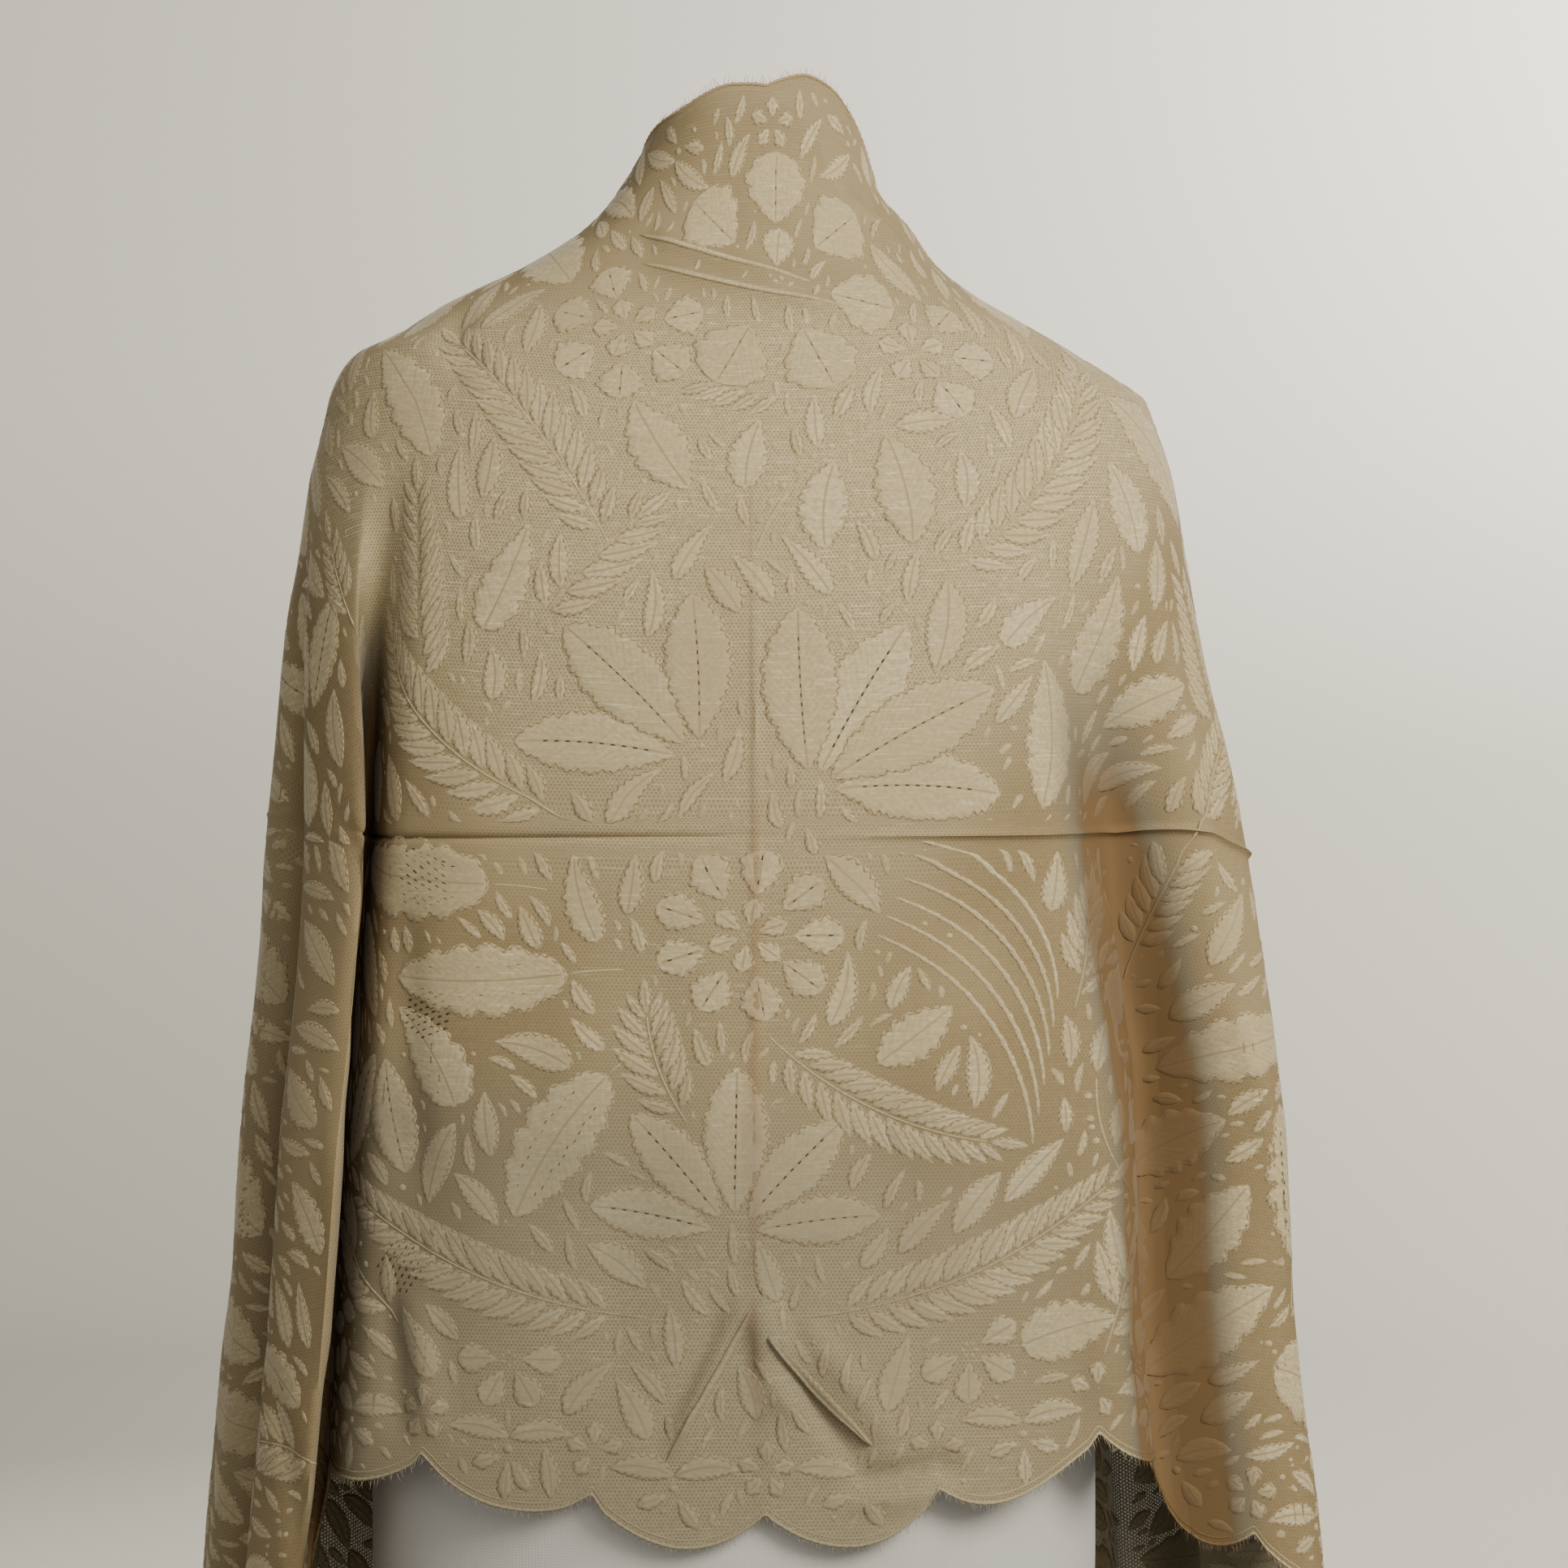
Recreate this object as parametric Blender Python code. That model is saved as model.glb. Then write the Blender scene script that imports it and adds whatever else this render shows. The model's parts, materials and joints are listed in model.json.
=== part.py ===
"""A lace shawl laid over the shoulders of a limbless dress form, on a plain round stand.

Metres, +Z up. The origin is the centre of the stand's underside. The back of the form faces -Y
and +X is the right of someone who looks at that back. The shawl is one length of lace, worked out
as rings round the form: an even ring from SECTIONS at each height, pressed in and out by FOLDS,
and kept clear of the form. It is split into the stretches that show, each a thin closed wall.
"""

import math
from collections import namedtuple

import bpy
import numpy as np

# The stand, a round plate and a tube.
BASE_RADIUS = 0.165
BASE_THICKNESS = 0.010
BASE_EDGE_ROUND = 0.004
HUB_RADIUS = 0.022
HUB_HEIGHT = 0.030
POLE_RADIUS = 0.0125
POLE_GAP = 0.0003
ROUND_SIDES = 48

# The form, from its flat underside to the dome of its neck.
FORM_SIDES = 36
FORM_RING_STEP = 0.045
FORM_ROUNDNESS = 2.25
NECK_LEAN = 0.006
BUST_HEIGHT = 1.190
BUST_ANGLE = 150.0
BUST_RISE = 0.021
BUST_HALF_ANGLE = 34.0
BUST_HALF_HEIGHT = 0.085

FORM_TOP = 1.495
FormSection = namedtuple("FormSection", "height half_width back front")
FORM_SECTIONS = (
    FormSection(0.700, 0.162, 0.108, 0.082),
    FormSection(0.712, 0.170, 0.117, 0.090),
    FormSection(0.780, 0.177, 0.124, 0.097),
    FormSection(0.840, 0.177, 0.125, 0.099),
    FormSection(0.900, 0.166, 0.115, 0.098),
    FormSection(0.960, 0.145, 0.097, 0.094),
    FormSection(1.020, 0.127, 0.082, 0.088),
    FormSection(1.080, 0.128, 0.084, 0.091),
    FormSection(1.140, 0.142, 0.096, 0.100),
    FormSection(1.200, 0.158, 0.107, 0.110),
    FormSection(1.250, 0.172, 0.109, 0.102),
    FormSection(1.290, 0.186, 0.101, 0.087),
    FormSection(1.315, 0.195, 0.092, 0.075),
    FormSection(1.330, 0.197, 0.085, 0.067),
    FormSection(1.343, 0.194, 0.079, 0.062),
    FormSection(1.358, 0.174, 0.073, 0.058),
    FormSection(1.374, 0.148, 0.067, 0.055),
    FormSection(1.390, 0.120, 0.060, 0.052),
    FormSection(1.405, 0.096, 0.054, 0.049),
    FormSection(1.420, 0.073, 0.050, 0.047),
    FormSection(1.437, 0.057, 0.047, 0.047),
    FormSection(1.455, 0.047, 0.043, 0.046),
    FormSection(1.475, 0.040, 0.037, 0.040),
    FormSection(1.487, 0.028, 0.026, 0.028),
    FormSection(1.493, 0.014, 0.013, 0.014),
)

# The shawl, cut as a long rectangle with a scalloped edge.
CLOTH_THICKNESS = 0.0012
CLOTH_CLEAR = 0.0011
SEAM_GAP = 0.0004
SHAWL_ROUNDNESS = 2.2
FRONT_EDGE_ANGLE = 167.0
SCALLOP_PITCH = 0.080
SCALLOP_DEPTH = 0.018
SCALLOP_NOTCH_AT = 0.016
SCALLOP_POWER = 0.7
FRONT_SCALLOP_ANGLE = 2.5
NECK_SCALLOP_DEPTH = 0.005
COLUMNS = 89
ROWS = 26
UPPER_ROWS = 10
UPPER_DROP = 0.100
FOLDS_START_HEIGHT = 1.335
SPREAD_HEIGHT = 0.930

ShawlSection = namedtuple("ShawlSection", "height left right back front")
SHAWL_SECTIONS = (
    ShawlSection(0.380, 0.276, 0.301, 0.124, 0.128),
    ShawlSection(0.600, 0.268, 0.293, 0.132, 0.130),
    ShawlSection(0.784, 0.255, 0.283, 0.135, 0.133),
    ShawlSection(0.846, 0.249, 0.276, 0.131, 0.135),
    ShawlSection(0.912, 0.244, 0.269, 0.122, 0.137),
    ShawlSection(0.983, 0.240, 0.266, 0.113, 0.139),
    ShawlSection(1.056, 0.232, 0.255, 0.110, 0.142),
    ShawlSection(1.120, 0.226, 0.246, 0.111, 0.145),
    ShawlSection(1.170, 0.222, 0.238, 0.113, 0.145),
    ShawlSection(1.225, 0.218, 0.228, 0.113, 0.133),
    ShawlSection(1.274, 0.212, 0.220, 0.108, 0.107),
    ShawlSection(1.303, 0.208, 0.215, 0.101, 0.094),
    ShawlSection(1.331, 0.201, 0.206, 0.092, 0.082),
    ShawlSection(1.341, 0.199, 0.202, 0.088, 0.078),
    ShawlSection(1.352, 0.195, 0.187, 0.084, 0.073),
    ShawlSection(1.363, 0.187, 0.169, 0.080, 0.069),
    ShawlSection(1.374, 0.165, 0.151, 0.075, 0.065),
    ShawlSection(1.388, 0.143, 0.126, 0.068, 0.061),
    ShawlSection(1.408, 0.102, 0.100, 0.060, 0.056),
    ShawlSection(1.428, 0.072, 0.086, 0.054, 0.053),
    ShawlSection(1.446, 0.057, 0.071, 0.052, 0.051),
    ShawlSection(1.474, 0.042, 0.064, 0.051, 0.049),
    ShawlSection(1.505, 0.036, 0.057, 0.049, 0.047),
)

# Each fold is a ridge (out) or a valley (in, negative) that runs down the cloth and may lean along
# it (towards +X, seen from the back) until it lies over its neighbour.
# Angles are in degrees round the form from the middle of its back, towards +X.
Fold = namedtuple("Fold", "name high_angle low_angle out lean half_angle starts full")
FOLDS = (
    Fold("left pleat valley", -47.0, -50.0, -0.040, -0.026, 8.5, 1.325, 1.120),
    Fold("left pleat ridge", -60.0, -62.0, 0.001, 0.046, 10.5, 1.330, 1.100),
    Fold("left pleat back valley", -76.0, -75.0, -0.026, 0.0, 8.0, 1.310, 1.050),
    Fold("left outer ridge", -93.0, -93.0, 0.005, 0.0, 10.0, 1.320, 1.100),
    Fold("left arm valley", -110.0, -108.0, -0.044, 0.0, 9.5, 1.325, 1.060),
    Fold("left front ridge", -122.0, -121.0, 0.014, 0.0, 8.0, 1.330, 1.100),
    Fold("left front valley", -134.0, -134.0, -0.034, 0.0, 8.0, 1.310, 1.050),
    Fold("left front panel", -148.0, -148.0, 0.010, 0.0, 9.0, 1.300, 1.000),
    Fold("left edge valley", -158.0, -158.0, -0.014, 0.0, 6.0, 1.280, 0.950),
    Fold("right back valley", 46.0, 57.0, -0.056, 0.0, 18.0, 1.320, 0.980),
    Fold("right wing ridge", 74.0, 80.0, 0.006, 0.0, 10.0, 1.330, 1.050),
    Fold("right arm valley", 108.0, 107.0, -0.050, 0.0, 9.5, 1.325, 1.060),
    Fold("right front ridge", 121.0, 120.0, 0.014, 0.0, 8.0, 1.330, 1.100),
    Fold("right front valley", 133.0, 133.0, -0.036, 0.0, 8.0, 1.310, 1.050),
    Fold("right front panel", 147.0, 147.0, 0.010, 0.0, 9.0, 1.300, 1.000),
    Fold("right edge valley", 158.0, 158.0, -0.014, 0.0, 6.0, 1.280, 0.950),
)

# Where the two long edges and the two ends of the shawl lie, as heights at angles.
EdgePoint = namedtuple("EdgePoint", "angle height")
NECK_EDGE = (
    EdgePoint(-167.0, 1.240),
    EdgePoint(-165.5, 1.290),
    EdgePoint(-162.0, 1.335),
    EdgePoint(-155.0, 1.370),
    EdgePoint(-145.0, 1.397),
    EdgePoint(-128.0, 1.422),
    EdgePoint(-108.0, 1.446),
    EdgePoint(-88.0, 1.470),
    EdgePoint(-62.0, 1.475),
    EdgePoint(-40.0, 1.477),
    EdgePoint(-22.0, 1.483),
    EdgePoint(-5.0, 1.489),
    EdgePoint(18.0, 1.494),
    EdgePoint(32.0, 1.496),
    EdgePoint(46.0, 1.492),
    EdgePoint(60.0, 1.483),
    EdgePoint(80.0, 1.462),
    EdgePoint(95.0, 1.450),
    EdgePoint(115.0, 1.437),
    EdgePoint(130.0, 1.420),
    EdgePoint(145.0, 1.396),
    EdgePoint(155.0, 1.371),
    EdgePoint(162.0, 1.335),
    EdgePoint(165.5, 1.290),
    EdgePoint(167.0, 1.240),
)
HEM = (
    EdgePoint(-167.0, 0.500),
    EdgePoint(-148.0, 0.470),
    EdgePoint(-132.0, 0.430),
    EdgePoint(-120.0, 0.410),
    EdgePoint(-108.0, 0.490),
    EdgePoint(-93.0, 0.600),
    EdgePoint(-76.0, 0.670),
    EdgePoint(-60.0, 0.715),
    EdgePoint(-52.0, 0.785),
    EdgePoint(-43.0, 0.852),
    EdgePoint(-22.0, 0.845),
    EdgePoint(-10.0, 0.833),
    EdgePoint(0.0, 0.828),
    EdgePoint(11.0, 0.830),
    EdgePoint(20.0, 0.840),
    EdgePoint(34.0, 0.858),
    EdgePoint(46.0, 0.858),
    EdgePoint(56.0, 0.832),
    EdgePoint(66.0, 0.800),
    EdgePoint(78.0, 0.788),
    EdgePoint(91.0, 0.793),
    EdgePoint(106.0, 0.700),
    EdgePoint(120.0, 0.520),
    EdgePoint(132.0, 0.455),
    EdgePoint(147.0, 0.510),
    EdgePoint(167.0, 0.570),
)

# The stretches, as angles round the form. The collar is the top of the back stretch.
COLLAR_ROWS = 5
Stretch = namedtuple("Stretch", "name starts ends")
STRETCHES = (
    Stretch("shawl_left_front", -167.0, -127.0),
    Stretch("shawl_left_arm_drape", -127.0, -84.0),
    Stretch("shawl_left_pleat", -84.0, -55.0),
    Stretch("shawl_back", -55.0, 62.0),
    Stretch("shawl_right_wing", 62.0, 92.0),
    Stretch("shawl_right_arm_drape", 92.0, 127.0),
    Stretch("shawl_right_front", 127.0, 167.0),
)

LACE_COLOUR = (0.66, 0.56, 0.37, 1.0)
FORM_COLOUR = (0.72, 0.71, 0.68, 1.0)
METAL_COLOUR = (0.60, 0.60, 0.61, 1.0)


def clear_scene():
    for thing in list(bpy.data.objects):
        bpy.data.objects.remove(thing)


def plain_material(name, colour, roughness, metallic):
    material = bpy.data.materials.new(name)
    material.use_nodes = True
    shader = material.node_tree.nodes["Principled BSDF"]
    shader.inputs["Base Color"].default_value = colour
    shader.inputs["Roughness"].default_value = roughness
    shader.inputs["Metallic"].default_value = metallic
    return material


def through(known, values, at):
    """A curve through the known values that never swings past them: cubic pieces whose slope at
    each value is the harmonic mean of the slopes on its two sides, and zero at a peak."""
    known, values, at = (np.asarray(a, float) for a in (known, values, at))
    gap = np.diff(known)
    slope = np.diff(values) / gap
    before, after = slope[:-1], slope[1:]
    same_way = before * after > 0
    weight_1, weight_2 = 2 * gap[1:] + gap[:-1], gap[1:] + 2 * gap[:-1]
    safe_before, safe_after = np.where(same_way, before, 1.0), np.where(same_way, after, 1.0)
    mean = (weight_1 + weight_2) / (weight_1 / safe_before + weight_2 / safe_after)
    tangent = np.concatenate([slope[:1], np.where(same_way, mean, 0.0), slope[-1:]])
    at = np.clip(at, known[0], known[-1])
    piece = np.clip(np.searchsorted(known, at, side="right") - 1, 0, len(gap) - 1)
    t = (at - known[piece]) / gap[piece]
    return (
        values[piece] * (1 + 2 * t) * (1 - t) ** 2
        + tangent[piece] * gap[piece] * t * (1 - t) ** 2
        + values[piece + 1] * t * t * (3 - 2 * t)
        - tangent[piece + 1] * gap[piece] * t * t * (1 - t)
    )


def column_of(table, name):
    return [getattr(row, name) for row in table]


def at_height(table, name, height):
    return through(column_of(table, "height"), column_of(table, name), height)


def ease(t):
    """0 up to t = 0, 1 from t = 1, and level at both."""
    t = np.clip(t, 0, 1)
    return t * t * (3 - 2 * t)


def bell(t):
    """1 at t = 0, falling smoothly to 0 at t = -1 and 1."""
    return np.where(np.abs(t) < 1, 0.5 + 0.5 * np.cos(np.pi * np.clip(t, -1, 1)), 0.0)


def rounded(t, roundness):
    """The coordinate of a superellipse, from the sine or cosine of its angle."""
    return np.sign(t) * np.abs(t) ** (2 / roundness)


def form_middle(height):
    """The form's neck leans a little towards its front."""
    return NECK_LEAN * ease((height - 1.36) / 0.10)


def form_plan(angle, height):
    """Points of the form's outside at angles in degrees and heights: a superellipse with its own
    depth at the back and the front, raised by two soft mounds at the bust."""
    turn = np.radians(angle)
    wide = at_height(FORM_SECTIONS, "half_width", height)
    deep = np.where(
        np.cos(turn) > 0,
        at_height(FORM_SECTIONS, "back", height),
        at_height(FORM_SECTIONS, "front", height),
    )
    x = wide * rounded(np.sin(turn), FORM_ROUNDNESS)
    y = -deep * rounded(np.cos(turn), FORM_ROUNDNESS)
    grown = 1 + bust_rise(x, y, height) / np.maximum(np.hypot(x, y), 1e-6)
    return x * grown, y * grown + form_middle(height)


def bust_rise(x, y, height):
    """How far the mounds stand out, for a point in any distance from the form's middle."""
    towards = np.degrees(np.arctan2(np.abs(x), -y))
    return (
        BUST_RISE
        * bell((towards - BUST_ANGLE) / BUST_HALF_ANGLE)
        * bell((height - BUST_HEIGHT) / BUST_HALF_HEIGHT)
    )


def clear_of_form(x, y, height, clearance):
    """Moves points out along the horizontal until they are clear of the form at their own height
    and a clearance below it, which keeps cloth off the slope of the shoulders too."""
    lower = np.asarray(height) - clearance
    middle = form_middle(lower)
    across = y - middle
    wide = at_height(FORM_SECTIONS, "half_width", lower)
    deep = np.where(
        across < 0,
        at_height(FORM_SECTIONS, "back", lower),
        at_height(FORM_SECTIONS, "front", lower),
    )
    reach = np.hypot(x, across)
    share = (
        (np.abs(x) / wide) ** FORM_ROUNDNESS + (np.abs(across) / deep) ** FORM_ROUNDNESS
    ) ** (1 / FORM_ROUNDNESS)
    edge = reach / np.maximum(share, 1e-9) + bust_rise(x, across, lower) + clearance
    edge = np.where(lower > FORM_TOP, 0.0, edge)
    grown = np.maximum(1.0, edge / np.maximum(reach, 1e-9))
    return x * grown, across * grown + middle


def even_ring(angle, height):
    """The cloth's ring without folds: a superellipse with its own reach on all four sides."""
    turn = np.radians(angle)
    wide = np.where(
        turn < 0,
        at_height(SHAWL_SECTIONS, "left", height),
        at_height(SHAWL_SECTIONS, "right", height),
    )
    deep = np.where(
        np.cos(turn) > 0,
        at_height(SHAWL_SECTIONS, "back", height),
        at_height(SHAWL_SECTIONS, "front", height),
    )
    x = wide * rounded(np.sin(turn), SHAWL_ROUNDNESS)
    y = -deep * rounded(np.cos(turn), SHAWL_ROUNDNESS)
    return x, y + form_middle(height)


def fold_moves(angle, height):
    """How far the folds move the ring, square to itself and along itself."""
    out = np.zeros(np.broadcast(angle, height).shape)
    along = np.zeros(out.shape)
    for fold in FOLDS:
        down = ease((fold.starts - height) / (fold.starts - fold.full))
        middle = fold.high_angle + (fold.low_angle - fold.high_angle) * down
        share = down * bell((angle - middle) / fold.half_angle)
        out += fold.out * share
        along += fold.lean * share
    return out, along


def shawl_plan(angle, height):
    """Middle of the cloth: the even ring moved by the folds, then off the form."""
    step = 0.5
    x, y = even_ring(angle, height)
    x_after, y_after = even_ring(angle + step, height)
    x_before, y_before = even_ring(angle - step, height)
    along_x, along_y = x_after - x_before, y_after - y_before
    length = np.maximum(np.hypot(along_x, along_y), 1e-9)
    out, along = fold_moves(angle, height)
    x = x + (out * along_y + along * along_x) / length
    y = y + (along * along_y - out * along_x) / length
    return clear_of_form(x, y, height, CLOTH_CLEAR)


def scalloped(distance, depth):
    """How far a scalloped edge reaches out at a distance along it: rounded tongues between sharp
    notches."""
    share = np.abs(np.sin(np.pi * (distance - SCALLOP_NOTCH_AT) / SCALLOP_PITCH))
    return depth * share**SCALLOP_POWER


def lengths_along(points):
    """Distance along each line of points from its start."""
    steps = np.linalg.norm(np.diff(points, axis=0), axis=-1)
    return np.concatenate([np.zeros((1, *steps.shape[1:])), np.cumsum(steps, axis=0)])


def column_angles():
    """Angles of the columns, evenly spaced along the folded cloth at SPREAD_HEIGHT, with the
    nearest column moved to each place where two stretches meet."""
    fine = np.linspace(-FRONT_EDGE_ANGLE, FRONT_EDGE_ANGLE, 2001)
    x, y = shawl_plan(fine, np.full(fine.shape, SPREAD_HEIGHT))
    length = lengths_along(np.stack([x, y], axis=-1))
    angles = np.interp(np.linspace(0, length[-1], COLUMNS), length, fine)
    for stretch in STRETCHES[1:]:
        angles[np.argmin(np.abs(angles - stretch.starts))] = stretch.starts
    return angles


def edge_heights(table, outward, angles):
    """Height of an edge of the shawl at each column: the table's curve with scallops that reach
    outward from it, measured along the curve from the middle of the back."""
    fine = np.linspace(-FRONT_EDGE_ANGLE, FRONT_EDGE_ANGLE, 2001)
    level = through(column_of(table, "angle"), column_of(table, "height"), fine)
    x, y = shawl_plan(fine, level)
    length = lengths_along(np.stack([x, y, level], axis=-1))
    length -= np.interp(0.0, fine, length)
    depth = scalloped(length, abs(outward))
    return np.interp(angles, fine, level + np.sign(outward) * depth)


def front_scallop(angles, down):
    """Moves the two front edges in and out, so that they are scalloped as the hem is."""
    near_edge = ease((np.abs(angles) - (FRONT_EDGE_ANGLE - 6)) / 6)
    return angles - np.sign(angles) * near_edge * (
        FRONT_SCALLOP_ANGLE - scalloped(down, FRONT_SCALLOP_ANGLE)
    )


def shawl_grid():
    """Middle of the cloth as rows of points from the neck edge to the hem, one point for each
    column. The upper rows lie over the collar and shoulders, the rest hang below."""
    angles = column_angles()
    top = edge_heights(NECK_EDGE, NECK_SCALLOP_DEPTH, angles) - NECK_SCALLOP_DEPTH
    split = np.minimum(FOLDS_START_HEIGHT, top - UPPER_DROP)
    bottom = edge_heights(HEM, -SCALLOP_DEPTH, angles)
    falling = np.linspace(1, 0, 160)[:, None]
    upper = split + (top - split) * falling
    lower = bottom + (split - bottom) * falling
    parts = []
    for heights, rows in ((upper, UPPER_ROWS), (lower, ROWS - UPPER_ROWS)):
        spread = np.broadcast_to(angles, heights.shape)
        x, y = shawl_plan(spread, heights)
        length = lengths_along(np.stack([x, y, heights], axis=-1))
        wanted = np.linspace(0, 1, rows + 1)[:, None] * length[-1]
        parts.append(
            np.stack(
                [np.interp(wanted[:, k], length[:, k], heights[:, k]) for k in range(len(angles))],
                axis=-1,
            )
        )
    heights = np.concatenate([parts[0][:-1], parts[1]])
    spread = np.broadcast_to(angles, heights.shape)
    down = top - heights
    x, y = shawl_plan(front_scallop(spread, down), heights)
    return angles, np.stack([x, y, heights], axis=-1)


def unit(vectors):
    return vectors / np.maximum(np.linalg.norm(vectors, axis=-1, keepdims=True), 1e-12)


def cloth_normals(points):
    """Outward direction at each point, from its neighbours along the row and the column."""
    along = unit(np.gradient(points, axis=1))
    down = unit(np.gradient(points, axis=0))
    return unit(np.cross(down, along)), along, down


def mesh_object(name, points, faces, material):
    mesh = bpy.data.meshes.new(name)
    mesh.from_pydata(points.tolist(), [], faces)
    mesh.materials.append(material)
    mesh.update()
    mesh.shade_smooth()
    mesh.set_sharp_from_angle(angle=math.radians(50))
    made = bpy.data.objects.new(name, mesh)
    bpy.context.scene.collection.objects.link(made)
    return made


def wall_faces(rows, columns):
    """Triangles of a closed wall: the outer grid, the inner grid behind it with the same
    diagonals, and a rim that joins their edges."""
    index = np.arange(rows * columns).reshape(rows, columns)
    a, b = index[:-1, :-1].ravel(), index[:-1, 1:].ravel()
    c, d = index[1:, 1:].ravel(), index[1:, :-1].ravel()
    outer = np.concatenate([np.stack([a, d, c], 1), np.stack([a, c, b], 1)])
    inner = outer[:, ::-1] + rows * columns
    ring = np.concatenate(
        [index[0, :-1], index[:-1, -1], index[-1, :0:-1], index[:0:-1, 0]]
    )
    after = np.roll(ring, -1)
    behind, behind_after = ring + rows * columns, after + rows * columns
    rim = np.concatenate(
        [np.stack([ring, after, behind_after], 1), np.stack([ring, behind_after, behind], 1)]
    )
    return np.concatenate([outer, inner, rim])


def cloth_wall(name, points, out, material):
    """A stretch of cloth: its points moved half the thickness each way along the normals."""
    rows, columns = points.shape[:2]
    half = out * CLOTH_THICKNESS / 2
    both = np.concatenate([(points + half).reshape(-1, 3), (points - half).reshape(-1, 3)])
    return mesh_object(name, both, wall_faces(rows, columns).tolist(), material)


def build_shawl(material):
    """Cuts the grid into the named stretches, each drawn back a little where two meet."""
    angles, points = shawl_grid()
    out, along, down = cloth_normals(points)
    draw_back = SEAM_GAP / 2
    for stretch in STRETCHES:
        first = int(np.argmin(np.abs(angles - stretch.starts)))
        last = int(np.argmin(np.abs(angles - stretch.ends)))
        part = points[:, first : last + 1].copy()
        if first > 0:
            part[:, 0] += along[:, first] * draw_back
        if last < len(angles) - 1:
            part[:, -1] -= along[:, last] * draw_back
        part_out = out[:, first : last + 1]
        if stretch.name == "shawl_back":
            collar, back = part[: COLLAR_ROWS + 1].copy(), part[COLLAR_ROWS:].copy()
            part_down = down[COLLAR_ROWS, first : last + 1]
            collar[-1] -= part_down * draw_back
            back[0] += part_down * draw_back
            cloth_wall("shawl_collar", collar, part_out[: COLLAR_ROWS + 1], material)
            cloth_wall("shawl_back", back, part_out[COLLAR_ROWS:], material)
        else:
            cloth_wall(stretch.name, part, part_out, material)


def lathe(name, profile, sides, material):
    """A solid turned from a profile of radius and height that runs from its bottom middle to its
    top middle; the two ends close on the axis."""
    turn = np.arange(sides) * 2 * np.pi / sides
    rings = np.array(
        [[(r * math.cos(t), r * math.sin(t), z) for t in turn] for r, z in profile]
    )
    return closed_rings(name, rings, material)


def closed_rings(name, rings, material):
    """A solid skinned over rings from its bottom to its top, with a flat fan over each end."""
    count, sides = rings.shape[:2]
    middle_low = rings[0].mean(axis=0)
    middle_high = rings[-1].mean(axis=0)
    points = np.concatenate([rings.reshape(-1, 3), [middle_low, middle_high]])
    low, high = count * sides, count * sides + 1
    faces = []
    for k in range(sides):
        after = (k + 1) % sides
        faces.append((low, after, k))
        top = (count - 1) * sides
        faces.append((high, top + k, top + after))
        for level in range(count - 1):
            a, b = level * sides + k, level * sides + after
            faces.append((a, b, b + sides, a + sides))
    return mesh_object(name, points, faces, material)


def build_form(material):
    """The limbless form: a ring at each section's height, and between sections far apart."""
    heights = [FORM_SECTIONS[0].height]
    for lower, upper in zip(FORM_SECTIONS, FORM_SECTIONS[1:]):
        steps = math.ceil((upper.height - lower.height) / FORM_RING_STEP)
        heights += list(np.linspace(lower.height, upper.height, steps + 1)[1:])
    angles = np.linspace(0, 360, FORM_SIDES, endpoint=False) - 180
    rings = []
    for height in heights:
        x, y = form_plan(angles, np.full(angles.shape, height))
        rings.append(np.stack([x, y, np.full(angles.shape, height)], axis=-1))
    return closed_rings("dress_form", np.array(rings), material)


def build_stand(material):
    """The round plate with its hub, and the tube that stands in it and carries the form."""
    edge = BASE_THICKNESS - BASE_EDGE_ROUND
    corner = [
        (
            BASE_RADIUS - BASE_EDGE_ROUND * (1 - math.cos(t)),
            edge + BASE_EDGE_ROUND * math.sin(t),
        )
        for t in np.linspace(0, math.pi / 2, 5)
    ]
    profile = [
        (BASE_RADIUS, 0.0),
        *corner,
        (HUB_RADIUS, BASE_THICKNESS),
        (HUB_RADIUS, HUB_HEIGHT),
    ]
    lathe("stand_base", profile, ROUND_SIDES, material)
    low, high = HUB_HEIGHT + POLE_GAP, FORM_SECTIONS[0].height - POLE_GAP
    lathe("stand_pole", [(POLE_RADIUS, low), (POLE_RADIUS, high)], ROUND_SIDES // 2, material)


def main():
    clear_scene()
    build_stand(plain_material("brushed metal", METAL_COLOUR, 0.35, 1.0))
    build_form(plain_material("form cover", FORM_COLOUR, 0.85, 0.0))
    build_shawl(plain_material("ecru lace", LACE_COLOUR, 0.75, 0.0))


main()
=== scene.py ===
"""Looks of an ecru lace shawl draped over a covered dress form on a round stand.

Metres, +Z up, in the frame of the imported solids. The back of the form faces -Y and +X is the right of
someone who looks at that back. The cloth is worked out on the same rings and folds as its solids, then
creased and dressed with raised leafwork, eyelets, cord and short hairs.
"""

import functools
import json
import math
from collections import namedtuple

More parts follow.
